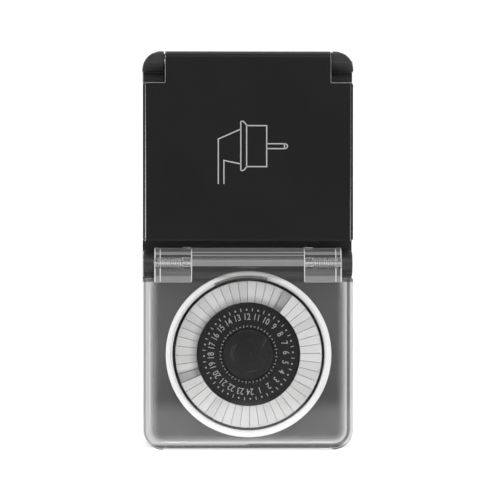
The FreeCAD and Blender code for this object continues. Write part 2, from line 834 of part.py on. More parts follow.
def plug_core():
    """Moulded plug body behind the housing, with guide grooves and recesses for the earth contacts."""
    inner = -back_wall - plug_flange_thickness
    body = joined([rod_y(plug_radius, -back_wall, plug_length), rod_y(plug_flange_radius, -back_wall, inner)])
    for sign in (-1, 1):
        guide = plug_guide_width / 2
        outside = sign * (plug_radius + cut_margin)
        bottom = sign * (plug_radius - plug_guide_depth)
        body = body.cut(box(bottom, outside, 0.0, plug_length, -guide, guide))
        half = plug_flat_width / 2
        body = body.cut(box(-half, half, plug_contact_shelf, plug_length, sign * plug_flat, outside))
        half = plug_contact_width / 2 + fit_gap
        body = body.cut(box(-half, half, inner, plug_contact_shelf, sign * plug_flat,
                            sign * (plug_flat + strap_thickness + fit_gap)))
        body = body.cut(rod_y(pin_root_radius + pin_seat_gap, inner, plug_length, sign * half_pins, 0.0))
    return body


def plug_pin(x):
    """Solid round plug pin with a rounded tip and a thinner root in the moulding."""
    tip = plug_length + pin_length
    pin = rod_y(pin_radius, plug_length, tip, x, 0.0)
    pin = pin.makeFillet(pin_tip_round, edges_at(pin, tip))
    return joined([pin, rod_y(pin_root_radius, -pin_tail, plug_length, x, 0.0)])


def plug_earth_contact():
    """U-shaped earth contact of the plug, one leg in each recess."""
    half = plug_contact_width / 2
    inner = -back_wall - plug_flange_thickness
    tip = plug_length - plug_contact_end
    reach = plug_flat + strap_thickness
    pieces = [box(-half, half, inner, inner - strap_thickness, -reach, reach)]
    for sign in (-1, 1):
        pieces.append(box(-half, half, inner - strap_thickness, tip, sign * plug_flat, sign * reach))
    return joined(pieces)


def terminal_x(sign):
    """Place of one microswitch terminal along the switch."""
    return dial_x + switch_shift + sign * terminal_spread


def live_bar():
    """Bar from the live plug pin down to the microswitch."""
    low = follower_z - bar_width / 2
    y1 = live_bar_y - bar_thickness
    x = -half_pins
    half = bar_width / 2
    upright = box(x - half, x + half, live_bar_y, y1, low, half)
    foot_x = terminal_x(-1)
    end_y = switch_back_y + terminal_length
    link = box(min(x - half, foot_x - half), max(x + half, foot_x), live_bar_y, y1, low, low + bar_width)
    leg = box(foot_x - bar_thickness, foot_x, live_bar_y, end_y, low, low + bar_width)
    return joined([upright, link, leg])


def switched_bar():
    """Bar from the microswitch up to the live contact of the socket."""
    low = follower_z - bar_width / 2
    y0 = switched_bar_y
    y1 = y0 + bar_thickness
    x = -half_pins
    half = bar_width / 2
    level = -insert_flange_radius - bar_width
    right = terminal_x(1)
    end_y = switch_back_y + terminal_length
    pieces = [box(x - half, x + half, y0, y1, level, half)]
    pieces.append(box(x - half, right, y0, y1, level - bar_width, level))
    pieces.append(box(right - bar_width, right, y0, y1, low, level))
    pieces.append(box(right - bar_thickness, right, y1, end_y, low, low + bar_width))
    return joined(pieces)


def neutral_bar():
    """Short bar between the neutral plug pin and the neutral contact."""
    x = half_pins
    half = bar_width / 2
    pieces = [box(x - half, x + half, live_bar_y, live_bar_y - bar_thickness, -half, half)]
    end = switched_bar_y + bar_thickness
    pieces.append(box(x + half - bar_thickness, x + half, live_bar_y, end, -half, half))
    pieces.append(box(x - half, x + half, switched_bar_y, end, -half, half))
    return joined(pieces)


def dial_collar():
    """White ring around the dial, with a sloped inner edge, a notch along its top and a spigot."""
    top = front_wall_y - collar_height
    points = [(collar_bore, inner_wall_y), (collar_bore + spigot_wall, inner_wall_y)]
    points += [(collar_bore + spigot_wall, front_wall_y), (collar_radius, front_wall_y)]
    points.append((collar_radius, top))
    points.append((collar_bore + collar_slope, top))
    points.append((collar_bore, top + collar_slope_depth))
    wire = loop(points, [0, 0, 0, 0, collar_edge_round, collar_lip_round, 0], "xy", 0.0)
    ring = Part.Face(wire).revolve(Vector(0, 0, 0), Vector(0, 1, 0), 360)
    ring.translate(Vector(dial_x, 0, dial_z))
    inside = collar_bore - cut_margin
    notch = sector(inside, notch_radius, 0.0, notch_span, top - cut_margin, front_wall_y)
    return ring.cut(around_dial(notch, notch_start + notch_span / 2))


def around_dial(shape, angle):
    """The shape, made at three o'clock about the Y axis, turned and moved to the dial."""
    turned = shape.copy()
    turned.rotate(Vector(0, 0, 0), Vector(0, -1, 0), angle)
    turned.translate(Vector(dial_x, 0, dial_z))
    return turned


def sector(inner, outer, gap, span, y0, y1):
    """Ring sector centred at three o'clock, with a parallel gap left at each flank."""
    def at(radius, share):
        angle = share * (math.radians(span) / 2 - gap / radius)
        return Vector(radius * math.cos(angle), y0, radius * math.sin(angle))
    edges = [Part.Arc(at(outer, -1), at(outer, 0), at(outer, 1)).toShape()]
    edges.append(Part.makeLine(at(outer, 1), at(inner, 1)))
    edges.append(Part.Arc(at(inner, 1), at(inner, 0), at(inner, -1)).toShape())
    edges.append(Part.makeLine(at(inner, -1), at(outer, -1)))
    return Part.Face(Part.Wire(edges)).extrude(Vector(0, y1 - y0, 0))


def tappet():
    """One raised tappet at three o'clock: a head and a blade."""
    pitch = 360 / tappet_count
    head_back = raised_front_y + tappet_head
    head = sector(tappet_inner, tappet_outer, tappet_gap / 2, pitch, raised_front_y, head_back)
    half = blade_thickness / 2
    blade = box(blade_inner, blade_outer, head_back, blade_end_y, -half, half)
    return head.fuse(blade).removeSplitter()


def tappet_group(number):
    """Tappets of one two-hour group, pressed in the first groups."""
    pitch = 360 / tappet_count
    single = tappet()
    members = []
    for k in range(tappets_per_group):
        place = first_pressed + number * tappets_per_group + k
        member = around_dial(single, dial_turn + (place + 0.5) * pitch)
        if number < pressed_groups:
            member.translate(Vector(0, tappet_travel, 0))
        members.append(member)
    return Part.makeCompound(members)


def gear(teeth, y0, y1, x, z, tooth_angle):
    """Straight gear along Y with a tooth centred on tooth_angle, in degrees from +X towards +Z."""
    pitch_radius = gear_module * teeth / 2
    base = pitch_radius * math.cos(math.radians(pressure_angle))
    tip = pitch_radius + addendum * gear_module
    root = pitch_radius - dedendum * gear_module

    def involute(angle):
        return math.tan(angle) - angle

    def half_angle(radius):
        slope = math.acos(min(1.0, base / radius)) if radius > base else 0.0
        half = math.pi / (2 * teeth) - backlash / (2 * pitch_radius)
        return half + involute(math.radians(pressure_angle)) - involute(slope)

    radii = [root, max(root, base), (max(root, base) + tip) / 2, tip]
    points = []
    for k in range(teeth):
        centre = math.radians(tooth_angle) + 2 * math.pi * k / teeth
        for radius in radii:
            angle = centre - half_angle(radius)
            points.append((x + radius * math.cos(angle), z + radius * math.sin(angle)))
        for radius in reversed(radii):
            angle = centre + half_angle(radius)
            points.append((x + radius * math.cos(angle), z + radius * math.sin(angle)))
    corners = [Vector(px, y0, pz) for px, pz in points]
    corners.append(corners[0])
    return Part.Face(Part.makePolygon(corners)).extrude(Vector(0, y1 - y0, 0))


def dial_carrier():
    """Rotating carrier with a slot for each blade and the dial gear behind it."""
    disc = rod_y(tappet_outer, carrier_front_y, carrier_back_y)
    boss = rod_y(tappet_inner - disc_gap, disc_back_y, carrier_front_y)
    neck = rod_y(carrier_neck_radius, carrier_back_y, gear_back_y)
    body = joined([disc, boss, neck])
    half = blade_thickness / 2 + slot_gap
    slot = box(blade_inner - slot_gap, blade_outer + slot_gap, carrier_front_y, carrier_back_y, -half, half)
    pitch = 360 / tappet_count
    slots = []
    for k in range(tappet_count):
        turned = slot.copy()
        turned.rotate(Vector(0, 0, 0), Vector(0, -1, 0), dial_turn + (k + 0.5) * pitch)
        slots.append(turned)
    body = body.cut(Part.makeCompound(slots))
    body.translate(Vector(dial_x, 0, dial_z))
    body = joined([body, gear(dial_teeth, gear_front_y, gear_back_y, dial_x, dial_z, reduction_direction)])
    body = body.cut(rod_y(axle_radius + running_gap, disc_front_y, gear_back_y, dial_x, dial_z))
    spigot = tube_y(spigot_outer, spigot_inner, disc_front_y - spigot_reach, disc_back_y, dial_x, dial_z)
    return joined([body, spigot])


def number_disc():
    """Printed 24-hour disc between the tappets and the hub."""
    return tube_y(tappet_inner - disc_gap, hub_radius + fit_gap, disc_front_y, disc_back_y, dial_x, dial_z)


def dial_hub():
    """Knob in the middle of the dial, hollow behind for the spigot and the retainer."""
    front = front_wall_y - hub_height
    knob = rod_y(hub_radius, front, disc_back_y, dial_x, dial_z)
    knob = knob.makeFillet(hub_round, edges_at(knob, front))
    groove_front = disc_front_y - spigot_reach - fit_gap
    groove = tube_y(spigot_outer + fit_gap, spigot_inner - fit_gap, groove_front, disc_back_y, dial_x, dial_z)
    recess = rod_y(hub_recess_radius, front + hub_front_wall, disc_back_y, dial_x, dial_z)
    return knob.cut(groove).cut(recess)


def dial_axle():
    """Fixed axle of the dial, standing on the gear plate."""
    end = disc_front_y - retainer_thickness - fit_gap
    foot = rod_y(axle_foot_radius, plate_front_y, plate_front_y - axle_foot_height, dial_x, dial_z)
    axle = joined([rod_y(axle_radius, plate_front_y, end, dial_x, dial_z), foot])
    notch_front = retainer_back_y - retainer_thickness - fit_gap
    notch = tube_y(axle_radius, axle_radius - axle_groove_depth, notch_front, retainer_back_y, dial_x, dial_z)
    return axle.cut(notch)


def dial_retainer():
    """Clip ring in the axle's notch that keeps the dial on its axle."""
    bore = axle_radius - axle_groove_depth + fit_gap
    front = retainer_back_y - retainer_thickness
    ring = tube_y(retainer_radius, bore, front, retainer_back_y - fit_gap / 2, dial_x, dial_z)
    half = retainer_mouth / 2
    mouth = box(dial_x - half, dial_x + half, front, retainer_back_y, dial_z, dial_z + retainer_radius)
    return ring.cut(mouth)


def reduction_gear():
    """Compound gear: pinion in the dial gear, wheel on the motor pinion."""
    half_tooth = 180 / pinion_teeth
    pinion_angle = reduction_direction + 180 + half_tooth
    pinion = gear(pinion_teeth, gear_front_y, wheel_front_y, reduction_x, reduction_z, pinion_angle)
    wheel = gear(wheel_teeth, wheel_front_y, wheel_back_y, reduction_x, reduction_z, motor_direction)
    bore = rod_y(gear_shaft_radius + running_gap, gear_front_y, wheel_back_y, reduction_x, reduction_z)
    return joined([pinion, wheel]).cut(bore)


def gear_shaft():
    """Steel shaft of the compound gear, pressed into the gear plate."""
    return rod_y(gear_shaft_radius, plate_back_y, gear_front_y - pin_end_gap, reduction_x, reduction_z)


def motor_pinion():
    """Pinion and shaft of the motor."""
    half_tooth = 180 / pinion_teeth
    front = wheel_front_y - fit_gap
    back = wheel_back_y + fit_gap
    pinion = gear(pinion_teeth, front, back, motor_x, motor_z, motor_direction + 180 + half_tooth)
    shaft = rod_y(gear_shaft_radius, front, plate_back_y + motor_shaft_depth, motor_x, motor_z)
    return joined([pinion, shaft])


def motor():
    """Synchronous motor can behind the gear plate, with two solder lugs."""
    back = plate_back_y + motor_length
    can = rod_y(motor_radius, plate_back_y, back, motor_x, motor_z)
    can = can.makeFillet(motor_edge, edges_at(can, back))
    half = motor_lug_width / 2
    lugs = []
    for x in (motor_x - motor_lug_spread, motor_x + motor_lug_spread):
        lugs.append(box(x - half, x + half, lug_y - motor_lug_thickness, lug_y,
                        motor_z + motor_radius - half, motor_z + motor_radius + motor_lug_reach))
    can = joined([can] + lugs)
    bore_end = plate_back_y + motor_shaft_depth + loose_gap
    bore = rod_y(gear_shaft_radius + running_gap, plate_back_y, bore_end, motor_x, motor_z)
    return can.cut(bore)


def bent_wire(points, radius, bend):
    """Round wire through points, with each corner rounded by one bend radius."""
    edges = []
    last = points[0]
    for before, corner, after in zip(points, points[1:], points[2:]):
        back = (before - corner).normalize()
        ahead = (after - corner).normalize()
        half = back.getAngle(ahead) / 2
        reach = bend / math.tan(half)
        middle = corner + (back + ahead).normalize() * (bend / math.sin(half) - bend)
        edges.append(Part.makeLine(last, corner + back * reach))
        last = corner + ahead * reach
        edges.append(Part.Arc(corner + back * reach, middle, last).toShape())
    edges.append(Part.makeLine(last, points[-1]))
    section = Part.Wire(Part.makeCircle(radius, points[0], points[1] - points[0]))
    return Part.Wire(edges).makePipeShell([section], True, False)


def motor_leads():
    """Two leads of the motor: one to the live bar, one to the neutral bar."""
    z = motor_z + motor_radius + motor_lug_reach / 2
    live_x = motor_x - motor_lug_spread
    neutral_x = motor_x + motor_lug_spread
    middle_y = (lug_y + switched_bar_y) / 2
    rear_y = (switched_bar_y + live_bar_y) / 2
    live = [Vector(live_x, lug_y, z), Vector(live_x, middle_y, z)]
    live.append(Vector(-half_pins, middle_y, z + bar_width / 2))
    live.append(Vector(-half_pins, live_bar_y - bar_thickness, z + bar_width / 2))
    neutral = [Vector(neutral_x, lug_y, z), Vector(neutral_x, rear_y, z)]
    neutral.append(Vector(lead_side, rear_y, z + lead_rise))
    neutral.append(Vector(lead_side, rear_y, 0))
    neutral.append(Vector(half_pins + bar_width / 2, rear_y, 0))
    return Part.makeCompound([bent_wire(points, lead_radius, lead_bend) for points in (live, neutral)])


def gear_plate():
    """Chassis plate that carries the gears, the motor and the microswitch."""
    half = plate_width / 2
    low = top_z - plate_bottom_drop
    high = top_z - plate_top_drop
    main = plate(-half, half, low, high, plate_corner, plate_corner, plate_front_y, plate_back_y)
    tab_half = plate_tab_width / 2
    tab = box(-tab_half, tab_half, plate_front_y, plate_back_y, top_z - plate_tab_drop, low + cut_margin)
    body = joined([main, tab])
    for x, z in post_places():
        body = body.cut(rod_y(plate_screw_radius + fit_gap, plate_front_y, plate_back_y, x, z))
    shaft_seat = gear_shaft_radius + pin_seat_gap
    body = body.cut(rod_y(shaft_seat, plate_front_y, plate_back_y, reduction_x, reduction_z))
    body = body.cut(rod_y(motor_shaft_bore, plate_front_y, plate_back_y, motor_x, motor_z))
    half_width = switch_width / 2 + fit_gap
    return body.cut(box(switch_low_x - fit_gap, switch_high_x + fit_gap, plate_front_y, plate_back_y,
                        follower_z - half_width, follower_z + half_width))


def plate_screws():
    """Four screws that hold the gear plate on its posts."""
    screws = []
    for x, z in post_places():
        head = rod_y(plate_screw_head, plate_back_y, plate_back_y + plate_screw_head_height, x, z)
        shank = rod_y(plate_screw_radius, plate_back_y, plate_back_y - plate_screw_length, x, z)
        slot = box(x - plate_screw_head, x + plate_screw_head, plate_back_y + plate_screw_head_height / 2,
                   plate_back_y + plate_screw_head_height, z - plate_screw_slot / 2, z + plate_screw_slot / 2)
        screws.append(head.fuse(shank).removeSplitter().cut(slot))
    return Part.makeCompound(screws)


def microswitch():
    """Snap switch below the dial, with ears for the lever's pin and two terminals behind."""
    low = follower_z - switch_width / 2
    high = follower_z + switch_width / 2
    body = box(switch_low_x, switch_high_x, switch_front_y, switch_back_y, low, high)
    flange_y = plate_back_y + switch_flange_thickness
    flange_low = switch_low_x - switch_flange
    flange = box(flange_low, switch_high_x + switch_flange, plate_back_y, flange_y, low, high)
    pieces = [body, flange]
    ear_inner = lever_width / 2 + lever_side_gap
    ear_half = lever_barrel + lever_side_gap
    ear_y = lever_nose_y - lever_barrel
    terminal_end = switch_back_y + terminal_length + terminal_tip
    for sign in (-1, 1):
        pieces.append(box(lever_pivot_x - ear_half, lever_pivot_x + ear_half, switch_front_y, ear_y,
                          follower_z + sign * ear_inner, follower_z + sign * (ear_inner + lever_ear)))
        x = terminal_x(sign)
        inside = fit_gap / 2
        side = 1 if sign < 0 else -1
        start = x + inside if sign < 0 else x - bar_thickness - inside
        pieces.append(box(start, start + side * bar_thickness, switch_back_y, terminal_end,
                          follower_z - bar_width / 2, follower_z + bar_width / 2))
    body = joined(pieces)
    body = body.cut(rod_z(lever_pin_radius + pin_seat_gap, low, high, lever_pivot_x, lever_nose_y))
    plunger_x = lever_pivot_x + plunger_reach
    depth = switch_front_y + switch_back
    return body.cut(rod_y(plunger_radius + running_gap, switch_front_y, depth, plunger_x, follower_z))


def switch_lever():
    """Follower lever of the microswitch, drawn at the bottom of its stroke."""
    low = follower_z - lever_width / 2
    high = follower_z + lever_width / 2
    bar = box(lever_pivot_x, dial_x, lever_nose_y, lever_back_y, low, high)
    nose = rod_z(lever_nose, low, high, dial_x, lever_nose_y)
    barrel = rod_z(lever_barrel, low, high, lever_pivot_x, lever_nose_y)
    bore = rod_z(lever_pin_radius + running_gap, low, high, lever_pivot_x, lever_nose_y)
    return joined([bar, nose, barrel]).cut(bore)


def lever_pin():
    """Pin of the switch lever in the microswitch's ears."""
    half = lever_width / 2 + lever_side_gap + lever_ear
    return rod_z(lever_pin_radius, follower_z - half, follower_z + half, lever_pivot_x, lever_nose_y)


def switch_plunger():
    """Button of the microswitch under the lever."""
    x = lever_pivot_x + plunger_reach
    end = switch_front_y + switch_back - loose_gap
    return rod_y(plunger_radius, lever_back_y + fit_gap, end, x, follower_z)


def build():
    """Every sub-part by its name."""
    parts = {
        "rear_housing": rear_housing(),
        "front_housing": front_housing(),
        "housing_gasket": housing_gasket(),
        "housing_screws": housing_screws(),
        "socket_lid": socket_lid(),
        "lid_gasket": lid_gasket(),
        "lid_hinge_pin": lid_hinge_pin(),
        "lid_spring": lid_spring(),
        "dial_cover": dial_cover(),
        "cover_gasket": cover_gasket(),
        "socket_insert": socket_insert(),
        "live_contact": sleeve_contact(-half_pins),
        "neutral_contact": sleeve_contact(half_pins),
        "earth_strap": earth_strap(),
        "plug_core": plug_core(),
        "live_pin": plug_pin(-half_pins),
        "neutral_pin": plug_pin(half_pins),
        "plug_earth_contact": plug_earth_contact(),
        "live_bar": live_bar(),
        "switched_bar": switched_bar(),
        "neutral_bar": neutral_bar(),
        "dial_collar": dial_collar(),
        "dial_carrier": dial_carrier(),
        "number_disc": number_disc(),
        "dial_hub": dial_hub(),
        "dial_axle": dial_axle(),
        "dial_retainer": dial_retainer(),
        "reduction_gear": reduction_gear(),
        "gear_shaft": gear_shaft(),
        "motor_pinion": motor_pinion(),
        "motor": motor(),
        "motor_leads": motor_leads(),
        "gear_plate": gear_plate(),
        "plate_screws": plate_screws(),
        "microswitch": microswitch(),
        "switch_lever": switch_lever(),
        "lever_pin": lever_pin(),
        "switch_plunger": switch_plunger(),
    }
    pairs = {"cover_hinge_pin": cover_hinge_pin_right(), "cover_spring": cover_spring_right()}
    for piece, shape in pairs.items():
        right, left = both_sides(shape)
        parts[piece + "_right"] = right
        parts[piece + "_left"] = left
    for number in range(tappet_count // tappets_per_group):
        parts["tappets_" + str(number + 1)] = tappet_group(number)
    return parts


os.makedirs("parts", exist_ok=True)
for name, shape in build().items():
    shape.exportStep("parts/" + name + ".step")
    solids = len(shape.Solids)
    print(name, "solids", solids, "valid", shape.isValid(), "volume", round(shape.Volume, 2))
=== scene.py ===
import json
import math

import bmesh
import bpy
from mathutils import Matrix, Vector
from mathutils.bvhtree import BVHTree

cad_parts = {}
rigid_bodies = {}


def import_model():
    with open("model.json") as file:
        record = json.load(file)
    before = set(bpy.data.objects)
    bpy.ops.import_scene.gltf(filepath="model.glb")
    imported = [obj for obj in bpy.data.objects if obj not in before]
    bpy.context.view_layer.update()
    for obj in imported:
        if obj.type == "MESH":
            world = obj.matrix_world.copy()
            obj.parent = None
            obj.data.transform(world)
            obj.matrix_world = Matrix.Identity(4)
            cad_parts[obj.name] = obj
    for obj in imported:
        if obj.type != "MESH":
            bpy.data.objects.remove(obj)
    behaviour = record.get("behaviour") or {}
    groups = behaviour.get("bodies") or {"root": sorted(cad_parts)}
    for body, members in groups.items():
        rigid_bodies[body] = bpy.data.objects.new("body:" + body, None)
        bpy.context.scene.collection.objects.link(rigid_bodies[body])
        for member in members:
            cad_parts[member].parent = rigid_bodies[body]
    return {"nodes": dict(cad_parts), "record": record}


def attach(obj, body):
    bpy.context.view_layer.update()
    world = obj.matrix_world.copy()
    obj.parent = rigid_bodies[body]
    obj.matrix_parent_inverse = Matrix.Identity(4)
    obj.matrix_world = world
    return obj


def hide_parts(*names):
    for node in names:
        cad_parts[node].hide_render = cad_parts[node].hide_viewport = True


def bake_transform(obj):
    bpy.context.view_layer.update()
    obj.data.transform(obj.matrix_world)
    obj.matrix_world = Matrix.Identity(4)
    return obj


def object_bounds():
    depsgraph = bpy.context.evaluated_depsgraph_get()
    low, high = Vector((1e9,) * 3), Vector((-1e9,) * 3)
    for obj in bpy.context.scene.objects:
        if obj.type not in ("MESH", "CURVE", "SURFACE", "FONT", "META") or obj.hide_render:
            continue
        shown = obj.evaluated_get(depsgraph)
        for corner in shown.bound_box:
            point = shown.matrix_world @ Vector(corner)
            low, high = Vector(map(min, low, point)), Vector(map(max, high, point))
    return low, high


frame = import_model()
cad_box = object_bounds()

# Sizes in metres. X is the width, Z is up, the front faces -Y.
MM = 0.001
FRONT = -56.0 * MM
WALL_FRONT = -43.5 * MM
DIAL_X = 0.3 * MM
DIAL_Z = -70.8 * MM
DIAL_TURN = math.radians(0.8)
PRINT_TURN = math.radians(2.4)
HOUR = math.radians(15.0)
PRINT_DEPTH = 0.03 * MM

# Tappets: counted from the right, against the clock, with 20 pressed in one row
TAPPET_COUNT = 48
TAPPETS_PER_GROUP = 4
FIRST_PRESSED = 7
PRESSED_GROUPS = 5
TAPPET_PITCH = 2 * math.pi / TAPPET_COUNT
TAPPET_INNER = 18.4 * MM
TAPPET_OUTER = 26.0 * MM
TAPPET_FLANK = 0.06 * MM
TAPPET_FRONT = -50.3 * MM
TAPPET_HEAD = 3.3 * MM
TAPPET_TRAVEL = 2.5 * MM
BLADE_INNER = 20.2 * MM
BLADE_OUTER = 24.8 * MM
BLADE_THICKNESS = 1.2 * MM
BLADE_END = -41.3 * MM

# Clear cover and the two hinges
COVER_HALF = 37.15 * MM
COVER_LOW = -104.4 * MM
COVER_SHOULDER = -43.55 * MM
EDGE_REACH = 7.1 * MM
HINGE_SKIN = 5.6 * MM
BLOCK_INNER = 20.0 * MM
BLOCK_OUTER = 33.2 * MM
COVER_AXIS_Y = -50.0 * MM
COVER_AXIS_Z = -38.7 * MM
LID_AXIS_Z = 32.7 * MM

# Radius, in millimetres, of a lathe outline's points on its axis
ON_AXIS = 0.0001

# Edge rounding: segments, least angle, largest face that stays whole, and how far a corner may stray
EDGE_SEGMENTS = 3
EDGE_ANGLE = math.radians(40.0)
LARGEST_FACE = 12
EDGE_SLACK = 0.12 * MM


# Shader arithmetic
class Signal:
    """A socket of a finish that takes part in Python expressions."""

    def __init__(self, finish, socket):
        self.finish = finish
        self.socket = socket

    def math(self, operation, *values):
        """One arithmetic node of the finish."""
        return self.finish.node("ShaderNodeMath", {"operation": operation}, *values)

    def __add__(self, other):
        return self.math("ADD", self, other)

    def __radd__(self, other):
        return self.math("ADD", other, self)

    def __sub__(self, other):
        return self.math("SUBTRACT", self, other)

    def __rsub__(self, other):
        return self.math("SUBTRACT", other, self)

    def __mul__(self, other):
        return self.math("MULTIPLY", self, other)

    def __truediv__(self, other):
        return self.math("DIVIDE", self, other)

    def __abs__(self):
        return self.math("ABSOLUTE", self)

    def __pow__(self, power):
        return self.math("POWER", self, power)

    def at_least(self, low):
        return self.math("MAXIMUM", self, low)

    def floor(self):
        return self.math("FLOOR", self)

    def angle(self, across):
        """Angle of the point (across, self) about the origin."""
        return self.math("ARCTAN2", self, across)

    def step(self, low, high):
        """0 below low, 1 above high, and smooth between them."""
        settings = {"interpolation_type": "SMOOTHSTEP"}
        return self.finish.node("ShaderNodeMapRange", settings, self, low, high, 0.0, 1.0)

    def within(self, low, high):
        """1 between low and high, 0 outside, with soft ends."""
        soft = 0.1 * MM
        return self.step(low - soft, low + soft) * (1.0 - self.step(high - soft, high + soft))


class Finish:
    """A material built from nodes, with Object coordinates."""

    def __init__(self, name):
        self.material = bpy.data.materials.new(name)
        self.material.use_nodes = True
        self.tree = self.material.node_tree
        self.tree.nodes.clear()
        self.output = self.tree.nodes.new("ShaderNodeOutputMaterial")
        place = self.tree.nodes.new("ShaderNodeTexCoord")
        self.place = Signal(self, place.outputs["Object"])

    def node(self, kind, settings, *values, out=0, **named):
        """One node: its settings and colour stops, then its sockets' values or links in order or by name."""
        made = self.tree.nodes.new(kind)
        for key, value in settings.items():
            if key == "stops":
                for _ in value[2:]:
                    made.color_ramp.elements.new(1.0)
                for element, (position, color) in zip(made.color_ramp.elements, value):
                    element.position = position
                    element.color = color
            else:
                setattr(made, key, value)
        sockets = [s for s in made.inputs if s.enabled]
        pairs = list(zip(sockets, values)) + [(made.inputs[k.replace("_", " ")], v) for k, v in named.items()]
        for socket, value in pairs:
            if isinstance(value, Signal):
                self.tree.links.new(value.socket, socket)
            elif value is not None:
                socket.default_value = value
        return Signal(self, made.outputs[out])

    def noise(self, size, detail=2.0, stretch=(1, 1, 1)):
        """Noise whose features are about one size across, from 0 to 1."""
        spot = self.node("ShaderNodeMapping", {}, self.place, Scale=[s / size for s in stretch])
        return self.node("ShaderNodeTexNoise", {}, Vector=spot, Scale=1.0, Detail=detail)

    def chance(self, seed):
        """A random value from 0 to 1 for each whole seed."""
        return self.node("ShaderNodeTexWhiteNoise", {"noise_dimensions": "1D"}, seed + 0.5)

    def corner_strip(self):
        """1 on the rounded edges of a moulding, 0 elsewhere."""
        return self.node("ShaderNodeAttribute", {"attribute_name": "rounded_edge"}, out=2)

    def side_edges(self):
        """1 on the rounded edges far to the left and right and at the top."""
        beside = abs(self.axis("X")).step(28 * MM, 28.5 * MM)
        above = self.axis("Z").step(35.8 * MM, 36 * MM)
        return self.corner_strip() * (beside + above)

    def axis(self, name):
        """One coordinate of the object, in metres."""
        return self.node("ShaderNodeSeparateXYZ", {}, self.place, out="XYZ".index(name))

    def blend(self, share, low, high):
        """Colour between two colours."""
        return self.node("ShaderNodeMix", {"data_type": "RGBA"}, share, low, high, out=2)

    def bump(self, height, distance):
        """Normal from a height field, in metres."""
        return self.node("ShaderNodeBump", {}, Strength=1.0, Distance=distance, Height=height)

    def surface(self, **sockets):
        """The main shader of the finish."""
        shader = self.node("ShaderNodeBsdfPrincipled", {}, **sockets)
        self.tree.links.new(shader.socket, self.output.inputs["Surface"])
        return shader


def grey(level, warm=0.0):
    """A grey of this lightness, with a share of warmth."""
    return (level * (1 + warm), level, level * (1 - warm), 1.0)


def moulded(name, color, rough, grain, depth, spread=0.12, specular=0.5, polish=0.0):
    """Moulded plastic with a spark-eroded grain, faint flow clouds, rubbed patches and polished edges."""
    finish = Finish(name)
    cloud = finish.noise(9 * MM, 3.0)
    speck = finish.noise(grain, 3.0)
    dark = [c * (1 - spread) for c in color[:3]] + [1.0]
    light = [min(1.0, c * (1 + spread)) for c in color[:3]] + [1.0]
    tone = finish.blend(cloud * 0.6 + speck * 0.4, dark, light)
    rubbed = finish.noise(22 * MM, 4.0).step(0.42, 0.7)
    finish.surface(Base_Color=tone, Roughness=rough + (speck - 0.5) * 0.12 - rubbed * 0.05,
                   Specular_IOR_Level=specular, Normal=finish.bump(speck, depth),
                   Coat_Weight=finish.side_edges() * polish, Coat_Roughness=0.2, Coat_IOR=4.0)
    return finish.material


def tappet(name):
    """Off-white plastic; pressed tappets get painted shade towards the disc and at both ends of their row."""
    finish = Finish(name)
    cloud = finish.noise(5 * MM, 3.0)
    speck = finish.noise(0.5 * MM, 3.0)
    across = finish.axis("X") - DIAL_X
    up = finish.axis("Z") - DIAL_Z
    radius = (across * across + up * up) ** 0.5
    low = finish.axis("Y").step(-49 * MM, -48.5 * MM)
    turn = (up.angle(across) - DIAL_TURN) / TAPPET_PITCH
    last_pressed = FIRST_PRESSED + PRESSED_GROUPS * TAPPETS_PER_GROUP - 1 - TAPPET_COUNT
    ends = 1.0 - abs(turn - (FIRST_PRESSED + 0.5)).step(0.5, 0.9)
    ends = ends + (1.0 - abs(turn - (last_pressed + 0.5)).step(0.5, 0.9))
    # Painted shade on the pressed tappets: darker towards the disc and beside the raised tappets at both ends
    # of the row
    painted_shade = (1.0 - radius.step(18.0 * MM, 21.5 * MM)) * 0.75 + ends * 0.6
    own = finish.chance(turn.floor()) * 0.7 + cloud * 0.3
    tone = finish.blend(own, grey(0.52, 0.004), grey(0.66, 0.004))
    tone = finish.blend(painted_shade * low, tone, grey(0.2))
    finish.surface(Base_Color=tone, Roughness=0.36 + (speck - 0.5) * 0.1,
                   Normal=finish.bump(speck, 0.006 * MM))
    return finish.material


def metal(name, color, rough, brushed, depth=0.006 * MM, dull=0.25):
    """Plated or drawn metal with fine lines along one direction and slightly dulled patches."""
    finish = Finish(name)
    lines = finish.noise(0.12 * MM, 2.0, brushed)
    patch = finish.noise(4 * MM, 4.0).step(0.45, 0.75)
    worn = [c * (1 - dull) for c in color[:3]] + [1.0]
    finish.surface(Base_Color=finish.blend(patch * 0.6 + lines * 0.2, color, worn), Metallic=1.0,
                   Roughness=rough + patch * 0.12 + (lines - 0.5) * 0.08, Normal=finish.bump(lines, depth))
    return finish.material
